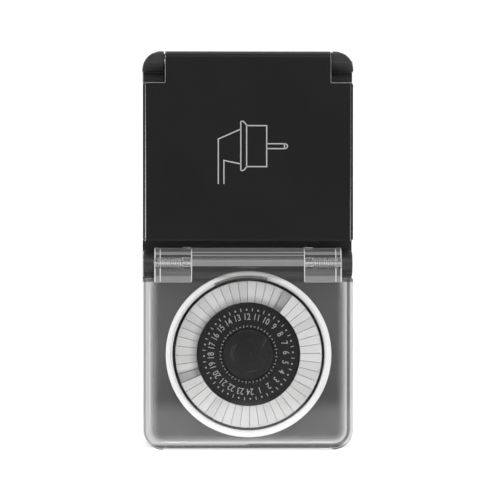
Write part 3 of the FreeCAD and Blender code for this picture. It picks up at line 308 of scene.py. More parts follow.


# Painted highlight and shade bands on the cover's hinge: millimetres above its axis, tone, strength
PAINTED_BANDS_FOOT = -7.3
PAINTED_BANDS_TOP = 6.2
BLOCK_PAINTED_BANDS = [(5.8, 0.2, 0), (5.66, 0.32, 0.85), (5.34, 0.32, 0.85), (5.2, 0.15, 0.8), (4.38, 0.15, 0.8),
              (4.24, 0.35, 0.8), (3.29, 0.35, 0.8), (3.15, 0.09, 0.6), (2.48, 0.09, 0.6), (2.12, 0.5, 0.1),
              (0.78, 0.6, 0.1), (0.43, 0.9, 0.18), (-0.07, 0.9, 0.18), (-0.53, 0.6, 0.1),
              (-1.41, 0.2, 0.1), (-1.94, 0.12, 0.9), (-4.09, 0.13, 0.9), (-4.31, 0.26, 0.9),
              (-6.14, 0.28, 0.9), (-6.5, 0.3, 0)]
BARREL_PAINTED_BANDS = [(6.08, 0.1, 0.9), (5.73, 0.1, 0.9), (5.62, 0.32, 0.9), (5.3, 0.32, 0.9), (5.16, 0.17, 0.8),
               (4.35, 0.17, 0.8), (4.21, 0.42, 0.8), (3.96, 0.42, 0.8), (3.82, 0.13, 0.8),
               (3.32, 0.13, 0.8), (3.15, 0.36, 0.8), (2.9, 0.36, 0.8), (2.76, 0.12, 0.7),
               (1.77, 0.14, 0.5), (1.06, 0.42, 0.55), (-0.56, 0.42, 0.55), (-0.91, 0.04, 0.7),
               (-2.4, 0.04, 0.6), (-3.18, 0.1, 0.45), (-6.14, 0.1, 0)]


def veil_ramp(finish, high, bands):
    """Tone and strength of the painted highlight and shade bands at each height above the hinge axis."""
    span = PAINTED_BANDS_TOP - PAINTED_BANDS_FOOT
    stops = [((height - PAINTED_BANDS_FOOT) / span, (tone, tone, tone, strength)) for height, tone, strength in bands]
    share = (high / MM - PAINTED_BANDS_FOOT) / span
    settings = {"stops": stops[::-1]}
    tone = finish.node("ShaderNodeValToRGB", settings, share)
    strength = finish.node("ShaderNodeValToRGB", settings, share, out=1)
    return tone, strength


def clear(name):
    """Clear moulded plastic with a painted glow and painted light and dark lines near its edges, and painted
    highlight and shade bands at its hinge; lamps shine through it.
    """
    finish = Finish(name)
    scuff = finish.noise(0.5 * MM, 3.0, (1, 1, 0.2)).step(0.62, 0.8)
    across, deep, up = [finish.axis(letter) for letter in "XYZ"]

    # Distance inwards from the outline of the front plate
    beside = (abs(across) - (COVER_HALF - EDGE_REACH)).at_least(0.0)
    below = ((COVER_LOW + EDGE_REACH) - up).at_least(0.0)
    inward = EDGE_REACH - (beside * beside + below * below) ** 0.5
    left = (0.0 - across).step(-1 * MM, 1 * MM)
    low = below.step(4.5 * MM, 6 * MM)

    # Side walls seen through the plate, drawn as painted light and dark lines, and a painted glow inside them
    rim = 1.0 - inward.step(2.1 * MM, 2.4 * MM)
    outer = 1.0 - inward.step(1.1 * MM, 1.3 * MM)
    line = inward.within(0.5 * MM, 0.9 * MM) * (1.0 - low) * left
    glow = (1.0 - inward.step(2.1 * MM, 7.1 * MM)) ** 2.0 * (0.5 - left * 0.06 - low * 0.12)
    ticks = (abs(across).within(23.0 * MM, 23.25 * MM) + abs(across).within(29.1 * MM, 29.35 * MM)) * low
    painted_wall_light = rim * (left * 0.45 + 0.15) * (1.0 - line * 0.6) + outer * (1.0 - left) * 0.45
    skin = (0.0 - deep).step(55.4 * MM, 55.9 * MM) * (COVER_SHOULDER - up).step(-0.3 * MM, 0.3 * MM)
    painted_edge_light = (glow * (1.0 - rim) + painted_wall_light * (1.0 - low) + ticks * rim * 0.3) * skin
    painted_dark_lines = (inward.within(0.3 * MM, 2.5 * MM) * low * 0.75 + line * 0.6) * skin

    # Front skin of the hinge: painted highlight and shade bands on the two blocks and the barrel between
    # them, and painted light lines along their upright edges
    back, high = deep - COVER_AXIS_Y, up - COVER_AXIS_Z
    round_skin = ((back * back + high * high) ** 0.5).step(HINGE_SKIN, HINGE_SKIN + 0.2 * MM)
    round_skin = round_skin * (0.0 - back).step(0.0, 0.5 * MM)
    block = abs(across).within(BLOCK_INNER, BLOCK_OUTER)
    block_tone, block_strength = veil_ramp(finish, high, BLOCK_PAINTED_BANDS)
    barrel_tone, barrel_strength = veil_ramp(finish, high, BARREL_PAINTED_BANDS)
    barrel = 1.0 - abs(across).step(BLOCK_INNER - 0.1 * MM, BLOCK_INNER + 0.1 * MM)
    # Painted light lines along the upright edges of the blocks
    edges = abs(across).within(19.8 * MM, 20.1 * MM) + abs(across).within(30.9 * MM, 31.2 * MM)
    edges = (edges + abs(across).within(32.7 * MM, 33.1 * MM)) * up.within(-45.0 * MM, -33.3 * MM) * 0.35
    painted_bands = (block_strength * block + barrel_strength * barrel + edges) * round_skin
    painted_band_tone = finish.blend(barrel, block_tone, barrel_tone)
    tone = finish.blend(edges.step(0.1, 0.3), painted_band_tone, grey(0.8))
    tone = finish.blend(round_skin * (up - COVER_SHOULDER).step(-1.6 * MM, -1.5 * MM), grey(0.85), tone)

    # Clear body with painted dark lines, a layer of painted light and shade over it, and an open way for the
    # light of the lamps
    body = finish.surface(Base_Color=finish.blend(painted_dark_lines, grey(0.98), grey(0.2)), Roughness=0.02 + scuff * 0.05,
                          IOR=1.49, Transmission_Weight=1.0, Specular_IOR_Level=0.3)
    painted_layer = finish.node("ShaderNodeBsdfPrincipled", {}, Base_Color=tone, Roughness=0.5, Specular_IOR_Level=0.1)
    open_way = finish.node("ShaderNodeBsdfTransparent", {}, grey(0.98))
    # The layer of painted light also lies on the cover's rounded edges
    painted_over = finish.node("ShaderNodeMixShader", {}, painted_edge_light + painted_bands + finish.corner_strip() * 0.25, body, painted_layer)
    shadow = finish.node("ShaderNodeLightPath", {}, out=1)
    mixed = finish.node("ShaderNodeMixShader", {}, shadow, painted_over, open_way)
    finish.tree.links.new(mixed.socket, finish.output.inputs["Surface"])
    return finish.material


def shell(name):
    """Black housing plastic, greyer and more textured under the clear cover, with painted shade under the
    ears and towards the bottom under the cover.
    """
    finish = Finish(name)
    cloud = finish.noise(9 * MM, 3.0)
    speck = finish.noise(0.35 * MM, 3.0)
    across, up = abs(finish.axis("X")), finish.axis("Z")
    front = 1.0 - finish.axis("Y").step(-43.4 * MM, -43.2 * MM)
    under = (1.0 - up.step(-46 * MM, -44 * MM)) * (1.0 - across.step(34 * MM, 35 * MM)) * front
    # Painted shade under the ears
    painted_ear_shade = up.within(26.3 * MM, 29.4 * MM) * across.step(27 * MM, 28 * MM) * front
    # Painted shade: the wall under the cover gets darker towards the bottom
    low = 1.0 - up.step(-95 * MM, -70 * MM)
    outside = finish.blend(painted_ear_shade, grey(0.02), grey(0.002))
    plate = finish.blend(low, grey(0.078), grey(0.035))
    tone = finish.blend(under, outside, plate)
    tone = finish.blend(cloud * 0.3 + speck * 0.3, tone, finish.blend(under, grey(0.026), grey(0.1)))
    finish.surface(Base_Color=tone, Roughness=0.45 + (speck - 0.5) * 0.12, Specular_IOR_Level=0.5,
                   Normal=finish.bump(speck, 0.03 * MM), Coat_Weight=finish.side_edges(), Coat_Roughness=0.15,
                   Coat_IOR=2.2)
    return finish.material


def ink(name, color):
    """Pad-printed ink, slightly uneven."""
    finish = Finish(name)
    cover = finish.noise(0.3 * MM, 2.0)
    worn = [c * 0.8 for c in color[:3]] + [1.0]
    finish.surface(Base_Color=finish.blend(cover, worn, color), Roughness=0.45)
    return finish.material


finishes = {
    "housing_plastic": shell("black_housing"),
    "lid_plastic": moulded("black_lid", grey(0.0095), 0.42, 0.25 * MM, 0.008 * MM, specular=0.2, polish=1.0),
    "clear_plastic": clear("clear_cover"),
    "rubber_seal": moulded("black_rubber", grey(0.02), 0.75, 0.6 * MM, 0.015 * MM, specular=0.3),
    "steel": metal("zinc_plated_steel", (0.62, 0.62, 0.63, 1), 0.28, (1, 6, 6)),
    "spring_steel": metal("bright_spring_wire", (0.92, 0.92, 0.92, 1), 0.25, (1, 1, 1), 0.002 * MM, 0.1),
    "insert_plastic": moulded("black_insert", grey(0.018), 0.35, 0.4 * MM, 0.012 * MM),
    "brass": metal("contact_brass", (0.78, 0.6, 0.3, 1), 0.25, (6, 1, 6)),
    "nickel_strip": metal("nickel_strip", (0.72, 0.71, 0.67, 1), 0.22, (1, 8, 8)),
    "nickel_pin": metal("nickel_pin", (0.74, 0.73, 0.69, 1), 0.16, (4, 4, 4), 0.003 * MM),
    "white_plastic": moulded("white_ring", grey(0.84), 0.32, 0.8 * MM, 0.006 * MM, 0.03),
    "dial_plastic": moulded("dark_carrier", grey(0.03), 0.45, 0.4 * MM, 0.01 * MM),
    "dial_print": moulded("dark_scale", grey(0.01), 0.45, 0.4 * MM, 0.004 * MM, specular=0.2),
    "hub_plastic": moulded("dark_hub", grey(0.008), 0.4, 0.5 * MM, 0.001 * MM, specular=0.3),
    "gear_plastic": moulded("natural_nylon", (0.78, 0.76, 0.68, 1), 0.4, 0.5 * MM, 0.006 * MM, 0.05),
    "motor_can": metal("motor_can", (0.6, 0.61, 0.62, 1), 0.34, (8, 1, 8)),
    "lead_insulation": moulded("blue_insulation", (0.03, 0.1, 0.35, 1), 0.4, 0.5 * MM, 0.004 * MM),
    "chassis_plastic": moulded("grey_chassis", grey(0.55), 0.45, 0.5 * MM, 0.01 * MM, 0.05),
    "switch_plastic": moulded("switch_case", grey(0.05), 0.4, 0.4 * MM, 0.008 * MM),
    "plunger_plastic": moulded("red_plunger", (0.5, 0.05, 0.04, 1), 0.35, 0.4 * MM, 0.004 * MM),
    "tappet_plastic": tappet("off_white_tappet"),
}
lid_ink = ink("lid_ink", grey(0.5))
scale_ink = ink("scale_ink", grey(0.38))

# CAD nodes that stay get the finish of their slot
slots = {part["node"]: part["material_slot"] for part in frame["record"]["subparts"]}
for name, node in frame["nodes"].items():
    if not node.material_slots:
        node.data.materials.append(finishes[slots[name]])
    for place in node.material_slots:
        place.material = finishes[slots[name]]


# Making pieces
def evaluated(source):
    """The object's mesh with its modifiers applied."""
    bpy.context.view_layer.update()
    return bpy.data.meshes.new_from_object(source.evaluated_get(bpy.context.evaluated_depsgraph_get()))


def linked(name, mesh):
    """A plain object in the scene, from a mesh or an edit mesh."""
    if isinstance(mesh, bmesh.types.BMesh):
        edit = mesh
        mesh = bpy.data.meshes.new(name)
        edit.to_mesh(mesh)
        edit.free()
    made = bpy.data.objects.new(name, mesh)
    bpy.context.scene.collection.objects.link(made)
    return made


def piece(name, mesh, body, slot, finish=None, replaced=(), smooth=50.0):
    """A finished object on its body, from a mesh or an edit mesh."""
    made = linked(name, mesh)
    mesh = made.data
    mesh.materials.clear()
    mesh.materials.append(finish or finishes[slot])
    for face in mesh.polygons:
        face.material_index = 0
    mesh.shade_smooth()
    mesh.set_sharp_from_angle(angle=math.radians(smooth))
    even = made.modifiers.new("even", "WEIGHTED_NORMAL")
    even.keep_sharp = True
    even.use_face_influence = True
    shaded = evaluated(made)
    made.modifiers.remove(even)
    made.data = shaded
    bpy.data.meshes.remove(mesh)
    shaded.name = name
    if replaced:
        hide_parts(*replaced)
    if body:
        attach(made, body)
    return made


def baked(source):
    """The evaluated object as a plain mesh; the source is removed."""
    mesh = evaluated(source)
    bpy.data.objects.remove(source)
    return mesh


def carved(mesh, tool):
    """The first mesh without the space of the second one."""
    body = linked("body", mesh)
    cutter = linked("tool", tool)
    cut = body.modifiers.new("cut", "BOOLEAN")
    cut.object = cutter
    cut.use_self = True
    done = baked(body)
    bpy.data.objects.remove(cutter)
    return done


def edged(node, width):
    """A CAD node's form with closed seams and rounded edges, marked as such for the finishes."""
    edit = bmesh.new()
    edit.from_mesh(frame["nodes"][node].data)
    solid = BVHTree.FromBMesh(edit)
    bmesh.ops.remove_doubles(edit, verts=edit.verts, dist=0.002 * MM)
    bmesh.ops.dissolve_limit(edit, angle_limit=math.radians(0.6), verts=edit.verts, edges=edit.edges)
    bmesh.ops.triangulate(edit, faces=[face for face in edit.faces if len(face.verts) > LARGEST_FACE])
    source = linked(node + "_form", edit)
    for _ in range(2):
        source.data.materials.append(None)
    bevel = source.modifiers.new("edges", "BEVEL")
    bevel.width = width
    bevel.segments = EDGE_SEGMENTS
    bevel.limit_method = "ANGLE"
    bevel.angle_limit = EDGE_ANGLE
    bevel.use_clamp_overlap = False
    bevel.miter_outer = "MITER_ARC"
    bevel.material = 1
    bevel.face_strength_mode = "FSTR_ALL"
    mesh = baked(source)
    for vertex in mesh.vertices:
        nearest, _, _, gap = solid.find_nearest(vertex.co)
        if gap > EDGE_SLACK:
            vertex.co = nearest
    strip = mesh.attributes.new("rounded_edge", "FLOAT", "CORNER")
    for face in mesh.polygons:
        for corner in face.loop_indices:
            strip.data[corner].value = face.material_index
    return mesh


def turned(profile, steps, x, z):
    """Lathe form about a Y axis, from (radius, y) points of a closed outline."""
    edit = bmesh.new()
    rings = []
    for k in range(steps):
        angle = 2 * math.pi * k / steps
        right, up = math.cos(angle), math.sin(angle)
        rings.append([edit.verts.new((x + r * right, y, z + r * up)) for r, y in profile])
    count = len(profile)
    for k in range(steps):
        here, there = rings[k], rings[(k + 1) % steps]
        for i in range(count):
            corners = [here[i], here[(i + 1) % count], there[(i + 1) % count], there[i]]
            edit.faces.new(corners)
    bmesh.ops.remove_doubles(edit, verts=edit.verts, dist=0.0005 * MM)
    bmesh.ops.recalc_face_normals(edit, faces=edit.faces)
    return edit


def rounded(points, radius):
    """Outline with every corner cut to a small arc."""
    steps = 3
    made = []
    for i, point in enumerate(points):
        here = Vector(point)
        before, after = Vector(points[i - 1]) - here, Vector(points[(i + 1) % len(points)]) - here
        reach = min(radius, before.length * 0.45, after.length * 0.45)
        start, end = here + before.normalized() * reach, here + after.normalized() * reach
        for k in range(steps + 1):
            t = k / steps
            made.append(start * (1 - t) ** 2 + here * 2 * t * (1 - t) + end * t ** 2)
    return [(p.x, p.y) for p in made]


def strokes(lines, width, y, depth):
    """Flat printed lines of one width in an upright plane, from lists of (x, z) points."""
    edit = bmesh.new()
    half = width / 2
    for points in lines:
        path = [Vector(p) for p in points]
        left, right = [], []
        for i, here in enumerate(path):
            before = (here - path[i - 1]).normalized() if i else (path[1] - here).normalized()
            after = (path[i + 1] - here).normalized() if i + 1 < len(path) else before
            aside = Vector((-(before + after).y, (before + after).x)).normalized()
            reach = half / max(0.35, aside.dot(Vector((-before.y, before.x))))
            left.append(here + aside * reach)
            right.append(here - aside * reach)
        ring = [[edit.verts.new((p.x, level, p.y)) for p in side]
                for side in (left, right) for level in (y - depth, y)]
        front_left, back_left, front_right, back_right = ring
        for i in range(len(path) - 1):
            for a, b in ((front_left, front_right), (front_right, back_right), (back_right, back_left),
                         (back_left, front_left)):
                edit.faces.new([a[i], b[i], b[i + 1], a[i + 1]])
        for i in (0, -1):
            edit.faces.new([front_left[i], front_right[i], back_right[i], back_left[i]])
    bmesh.ops.recalc_face_normals(edit, faces=edit.faces)
    return edit


def wire(points, radius):
    """Round wire along points, as a mesh."""
    curve = bpy.data.curves.new("wire", "CURVE")
    curve.dimensions = "3D"
    curve.bevel_depth = radius
    curve.bevel_resolution = 2
    curve.use_fill_caps = True
    spline = curve.splines.new("POLY")
    spline.points.add(len(points) - 1)
    for place, point in zip(spline.points, points):
        place.co = (*point, 1.0)
    source = bpy.data.objects.new("wire", curve)
    bpy.context.scene.collection.objects.link(source)
    return baked(source)


# Geometry Nodes
class Tree:
    """A Geometry Nodes tree with named inputs."""

    def __init__(self, name, inputs):
        self.group = bpy.data.node_groups.new(name, "GeometryNodeTree")
        self.ids = {}
        for label, (kind, value) in inputs.items():
            socket = self.group.interface.new_socket(label, in_out="INPUT", socket_type="NodeSocket" + kind)
            if value is not None:
                socket.default_value = value
            self.ids[label] = socket.identifier
        self.group.interface.new_socket("Geometry", in_out="OUTPUT", socket_type="NodeSocketGeometry")
        self.inputs = self.group.nodes.new("NodeGroupInput")
        self.output = self.group.nodes.new("NodeGroupOutput")

    def value(self, label):
        """A named input of the tree."""
        return self.inputs.outputs[label]

    def node(self, kind, settings=None, out=0, **sockets):
        """One node: its settings first, then its sockets by name or by place."""
        made = self.group.nodes.new(kind)
        for key, value in (settings or {}).items():
            setattr(made, key, value)
        for key, value in sockets.items():
            socket = made.inputs[int(key[1:])] if key[1:].isdigit() else made.inputs[key.replace("_", " ")]
            if isinstance(value, bpy.types.NodeSocket):
                self.group.links.new(value, socket)
            else:
                socket.default_value = value
        return made.outputs[out]

    def math(self, operation, a, b=0.0):
        """One arithmetic node of the tree."""
        return self.node("ShaderNodeMath", {"operation": operation}, _0=a, _1=b)

    def join(self, *geometries):
        """All the geometries as one."""
        made = self.group.nodes.new("GeometryNodeJoinGeometry")
        for geometry in geometries:
            self.group.links.new(geometry, made.inputs[0])
        return made.outputs[0]

    def finish(self, geometry):
        """Real, dressed geometry as the tree's result."""
        real = self.node("GeometryNodeRealizeInstances", Geometry=geometry)
        dressed = self.node("GeometryNodeSetMaterial", Geometry=real, Material=self.value("Finish"))
        self.group.links.new(dressed, self.output.inputs[0])

    def grown(self, values, edge=0.0):
        """The tree's result for these input values, as a plain mesh with its edges rounded."""
        source = bpy.data.objects.new(self.group.name, bpy.data.meshes.new(self.group.name))
        bpy.context.scene.collection.objects.link(source)
        modifier = source.modifiers.new("grow", "NODES")
        modifier.node_group = self.group
        for label, value in values.items():
            modifier[self.ids[label]] = value
        if edge:
            bevel = source.modifiers.new("edges", "BEVEL")
            bevel.width = edge
            bevel.segments = 2
            bevel.limit_method = "ANGLE"
            bevel.angle_limit = EDGE_ANGLE
        return baked(source)


def ring_turn(tree, count, first, pitch):
    """Points at the ring's middle, each turned by its own step about Y."""
    points = tree.node("GeometryNodePoints", Count=count)
    index = tree.node("GeometryNodeInputIndex")
    angle = tree.math("MULTIPLY", tree.math("ADD", first, tree.math("MULTIPLY", index, pitch)), -1.0)
    return points, tree.node("ShaderNodeCombineXYZ", Y=angle)


def tappet_tree():
    """Wedge-shaped tappets with their blades, in a row round the dial."""
    tree = Tree("tappet_row", {
        "Count": ("Int", TAPPETS_PER_GROUP), "First": ("Float", 0.0), "Pitch": ("Float", TAPPET_PITCH),
        "Inner": ("Float", TAPPET_INNER), "Outer": ("Float", TAPPET_OUTER), "Flank": ("Float", TAPPET_FLANK),
        "Front": ("Float", TAPPET_FRONT), "Head": ("Float", TAPPET_HEAD), "Back": ("Float", BLADE_END),
        "Finish": ("Material", None),
    })
    block = tree.node("GeometryNodeMeshCube", Size=(1, 1, 1), Vertices_X=2, Vertices_Y=2, Vertices_Z=5)
    place = tree.node("GeometryNodeInputPosition")
    split = tree.group.nodes.new("ShaderNodeSeparateXYZ")
    tree.group.links.new(place, split.inputs[0])
    across, deep, around = split.outputs
    width = tree.math("SUBTRACT", tree.value("Outer"), tree.value("Inner"))
    outwards = tree.math("MULTIPLY", tree.math("ADD", across, 0.5), width)
    radius = tree.math("ADD", tree.value("Inner"), outwards)
    span = tree.math("SUBTRACT", tree.value("Pitch"),
                     tree.math("DIVIDE", tree.math("MULTIPLY", tree.value("Flank"), 2.0), radius))
    angle = tree.math("MULTIPLY", around, span)
    level = tree.math("ADD", tree.value("Front"),
                      tree.math("MULTIPLY", tree.math("ADD", deep, 0.5), tree.value("Head")))
    right = tree.math("MULTIPLY", radius, tree.math("COSINE", angle))
    up = tree.math("MULTIPLY", radius, tree.math("SINE", angle))
    spot = tree.node("ShaderNodeCombineXYZ", X=right, Y=level, Z=up)
    head = tree.node("GeometryNodeSetPosition", Geometry=block, Position=spot)
    back_of_head = tree.math("ADD", tree.value("Front"), tree.value("Head"))
    blade_depth = tree.math("SUBTRACT", tree.value("Back"), back_of_head)
    blade_middle = tree.math("ADD", back_of_head, tree.math("MULTIPLY", blade_depth, 0.5))
    blade_size = tree.node("ShaderNodeCombineXYZ", X=BLADE_OUTER - BLADE_INNER, Y=blade_depth,
                           Z=BLADE_THICKNESS)
    blade_spot = tree.node("ShaderNodeCombineXYZ", X=(BLADE_OUTER + BLADE_INNER) / 2, Y=blade_middle)
    blade = tree.node("GeometryNodeMeshCube", Size=blade_size)
    blade = tree.node("GeometryNodeTransform", Geometry=blade, Translation=blade_spot)
    points, turn = ring_turn(tree, tree.value("Count"), tree.value("First"), tree.value("Pitch"))
    tree.finish(tree.node("GeometryNodeInstanceOnPoints", Points=points, Instance=tree.join(head, blade),
                          Rotation=turn))
    return tree


def mark_tree():
    """Track of the printed scale: a dot and a short line in turn."""
    tree = Tree("scale_track", {
        "Count": ("Int", 24), "First dot": ("Float", 0.0), "First line": ("Float", 0.0),
        "Pitch": ("Float", HOUR), "Radius": ("Float", 16 * MM), "Dot": ("Float", 0.5 * MM),
        "Line": ("Float", 1 * MM), "Line width": ("Float", 0.2 * MM), "Dot stretch": ("Float", 1.0),
        "Depth": ("Float", PRINT_DEPTH), "Finish": ("Material", None),
    })
    out = tree.node("ShaderNodeCombineXYZ", X=tree.value("Radius"))
    dot_radius = tree.math("MULTIPLY", tree.value("Dot"), 0.5)
    dot = tree.node("GeometryNodeMeshCylinder", Vertices=12, Radius=dot_radius, Depth=tree.value("Depth"))
    wide = tree.node("ShaderNodeCombineXYZ", X=1.0, Y=tree.value("Dot stretch"), Z=1.0)
    dot = tree.node("GeometryNodeTransform", Geometry=dot, Scale=wide)
    dot = tree.node("GeometryNodeTransform", Geometry=dot, Rotation=(math.pi / 2, 0, 0), Translation=out)
    size = tree.node("ShaderNodeCombineXYZ", X=tree.value("Line"), Y=tree.value("Depth"),
                     Z=tree.value("Line width"))
    line = tree.node("GeometryNodeMeshCube", Size=size)
    line = tree.node("GeometryNodeTransform", Geometry=line, Translation=out)
    rows = []
    for mark, first in ((dot, "First dot"), (line, "First line")):
        points, turn = ring_turn(tree, tree.value("Count"), tree.value(first), tree.value("Pitch"))
        rows.append(tree.node("GeometryNodeInstanceOnPoints", Points=points, Instance=mark, Rotation=turn))
    tree.finish(tree.join(*rows))
    return tree


def moved(mesh, x, y, z):
    """The mesh, shifted."""
    mesh.transform(Matrix.Translation((x, y, z)))
    return mesh


# Housing, lid, cover and other moulded pieces with rounded edges
for name, node, rounding, body, slot in (
    ("front_shell", "front_housing", 0.25 * MM, "housing", "housing_plastic"),
    ("rear_shell", "rear_housing", 0.25 * MM, "housing", "housing_plastic"),
    ("lid_shell", "socket_lid", 0.2 * MM, "socket_lid", "lid_plastic"),
    ("cover_shell", "dial_cover", 0.2 * MM, "dial_cover", "clear_plastic"),
    ("socket_well", "socket_insert", 0.2 * MM, "housing", "insert_plastic"),
    ("plug_body", "plug_core", 0.3 * MM, "housing", "insert_plastic"),
):
    piece(name, edged(node, rounding), body, slot, replaced=[node])

# Plug pictogram on the lid: lines through (x, z) points in millimetres
pictogram = [
    [(-10.54, -10.432), (-10.54, 5.466), (-2.661, 8.929)],
    [(-8.561, -10.432), (-8.561, -2.094), (-2.661, -3.331)],
    [(-2.59, 11.684), (-2.59, -5.627)],
    [(-2.59, 11.684), (-1.884, 11.72), (-1.318, 11.366), (-0.541, 10.413), (-0.541, -4.355), (-1.248, -5.309),
     (-1.813, -5.663), (-2.59, -5.663)],
    [(-0.541, 10.201), (6.56, 10.201), (6.56, -4.285), (-0.541, -4.285)],
    [(6.56, 3.806), (13.026, 3.806), (13.697, 3.523), (13.944, 2.958), (13.697, 2.357), (13.026, 2.075),
     (6.56, 2.075)],
    [(12.814, 3.806), (12.814, 2.075)],
]
pictogram = [[(x * MM, z * MM) for x, z in points] for points in pictogram]
drawing = strokes(pictogram, width=0.42 * MM, y=FRONT + 0.01 * MM, depth=0.04 * MM)
piece("lid_pictogram", drawing, "socket_lid", "lid_plastic", lid_ink)

# White ring round the dial: (radius, y) outline in millimetres, and the notch along its top
ring = [(27.05, -41.3), (28.15, -41.3), (28.15, -43.5), (29.4, -43.5), (29.4, -50.3), (29.1, -50.6),
        (28.5, -50.6), (28.42, -50.52), (28.34, -50.6), (27.85, -50.6), (27.05, -49.4)]
NOTCH_INNER = 25.0 * MM
NOTCH_RADIUS = 28.0 * MM
NOTCH_START = math.radians(76.0)
NOTCH_SPAN = math.radians(40.0)
NOTCH_FRONT = -52.0 * MM


def notch_form():
    """Curved block that cuts the notch along the top of the ring."""
    edit = bmesh.new()
    outline = [(NOTCH_INNER, NOTCH_FRONT), (NOTCH_RADIUS, NOTCH_FRONT), (NOTCH_RADIUS, WALL_FRONT),
               (NOTCH_INNER, WALL_FRONT)]
    steps = 16
    rows = []
    for k in range(steps + 1):
        angle = NOTCH_START + NOTCH_SPAN * k / steps
        right, up = math.cos(angle), math.sin(angle)
        rows.append([edit.verts.new((DIAL_X + r * right, y, DIAL_Z + r * up)) for r, y in outline])
    for here, there in zip(rows, rows[1:]):
        for i in range(4):
            edit.faces.new([here[i], here[i - 1], there[i - 1], there[i]])
    edit.faces.new(rows[0])
    edit.faces.new(rows[-1])
    bmesh.ops.recalc_face_normals(edit, faces=edit.faces)
    return edit


collar = carved(turned([(r * MM, y * MM) for r, y in ring], 128, DIAL_X, DIAL_Z), notch_form())
piece("dial_ring", collar, "housing", "white_plastic", replaced=["dial_collar"], smooth=25.0)

# Tappets, four for each two hours
tappets = tappet_tree()
for group in range(TAPPET_COUNT // TAPPETS_PER_GROUP):
    pressed = group < PRESSED_GROUPS
    first = DIAL_TURN + (FIRST_PRESSED + group * TAPPETS_PER_GROUP + 0.5) * TAPPET_PITCH
    shift = TAPPET_TRAVEL if pressed else 0.0
    row = tappets.grown({"First": first, "Front": TAPPET_FRONT + shift, "Back": BLADE_END + shift,
                         "Finish": finishes["tappet_plastic"]}, 0.07 * MM)
    row = moved(row, DIAL_X, 0, DIAL_Z)
    name = "tappets_%d" % (group + 1)
    piece("tappet_row_%d" % (group + 1), row, name, "tappet_plastic", replaced=[name])

# Number disc with its printed scale, from a (radius, y) outline in millimetres
disc = rounded([(9.25, -47.4), (18.2, -47.4), (18.2, -48.6), (9.25, -48.6)], 0.15)
piece("scale_disc", turned([(r * MM, y * MM) for r, y in disc], 128, DIAL_X, DIAL_Z), "dial", "dial_print",
      replaced=["number_disc"])
DISC_FRONT = -48.6 * MM
tracks = mark_tree()
for name, values in (
    ("outer_track", {"Radius": 15.85 * MM, "Dot": 0.66 * MM, "Line": 1.15 * MM, "Line width": 0.3 * MM}),
    ("inner_track", {"Radius": 9.95 * MM, "Dot": 0.34 * MM, "Dot stretch": 2.2, "Line": 0.9 * MM,
                     "Line width": 0.26 * MM}),
):
    turns = {"First dot": PRINT_TURN, "First line": PRINT_TURN + HOUR / 2}
    marks = tracks.grown({**values, **turns, "Finish": scale_ink})
    piece(name, moved(marks, DIAL_X, DISC_FRONT, DIAL_Z), "dial", "dial_print", scale_ink)


NUMERAL_SIZE = 3.3 * MM
NUMERAL_SWELL = 0.02 * MM
NUMERAL_SLIMNESS = 0.8
NUMERAL_RADIUS = 13.4 * MM
HOUR_AT_RIGHT = 6


def numeral(number):
    """Mesh of one hour number, with its top outwards at its place on the disc."""
    curve = bpy.data.curves.new("hour", "FONT")
    curve.body = str(number)
    curve.size = NUMERAL_SIZE
    curve.offset = NUMERAL_SWELL
    curve.align_x = "CENTER"
    curve.align_y = "CENTER"
    curve.extrude = PRINT_DEPTH / 2
    curve.resolution_u = 3
    source = bpy.data.objects.new("hour", curve)
    bpy.context.scene.collection.objects.link(source)
    mesh = baked(source)
    low = min(v.co.y for v in mesh.vertices)
    high = max(v.co.y for v in mesh.vertices)
    angle = PRINT_TURN + (number - HOUR_AT_RIGHT) * HOUR
    upright = Matrix.Rotation(math.pi / 2, 4, "X")
    slim = Matrix.Diagonal((NUMERAL_SLIMNESS, 1.0, 1.0, 1.0))
    out = Matrix.Rotation(-(angle - math.pi / 2), 4, "Y") @ Matrix.Translation((0, 0, NUMERAL_RADIUS))
    place = Matrix.Translation((DIAL_X, DISC_FRONT, DIAL_Z))
    mesh.transform(place @ out @ upright @ slim @ Matrix.Translation((0, -(low + high) / 2, 0)))
    return mesh


numerals = bmesh.new()
for hour in range(1, 25):
    numerals.from_mesh(numeral(hour))
piece("hour_numbers", numerals, "dial", "dial_print", scale_ink, smooth=20.0)

# Hub with faint raised arcs, from a (radius, y) outline in millimetres
hub = [(ON_AXIS, -50.9), (8.2, -50.9), (8.75, -50.75), (9.05, -50.4), (9.15, -49.9), (9.15, -47.4),
       (6.8, -47.4), (6.8, -49.5), (5.3, -49.5), (5.3, -47.4), (4.8, -47.4), (4.8, -49.6), (ON_AXIS, -49.6)]
piece("hub_knob", turned([(r * MM, y * MM) for r, y in hub], 96, DIAL_X, DIAL_Z), "dial", "hub_plastic",
      replaced=["dial_hub"], smooth=30.0)


def hub_arc(radius, start, end):
    """Arc about the hub's middle, between two angles in degrees."""
    steps = 14
    angles = [math.radians(start + (end - start) * k / steps) for k in range(steps + 1)]
    return [(DIAL_X + radius * math.cos(a), DIAL_Z + radius * math.sin(a)) for a in angles]


HUB_FRONT = -50.89 * MM
arcs = [hub_arc(5.6 * MM, 140, 205), hub_arc(6.3 * MM, 150, 195), hub_arc(6.2 * MM, 265, 300)]
arcs.append([(DIAL_X + 6.3 * MM, DIAL_Z + 5.7 * MM), (DIAL_X + 4.7 * MM, DIAL_Z + 2.3 * MM)])
rubbed = moulded("rubbed_hub", grey(0.09), 0.3, 0.4 * MM, 0.004 * MM)
arrows = strokes(arcs, width=0.16 * MM, y=HUB_FRONT, depth=0.05 * MM)
piece("hub_arrows", arrows, "dial", "hub_plastic", rubbed)


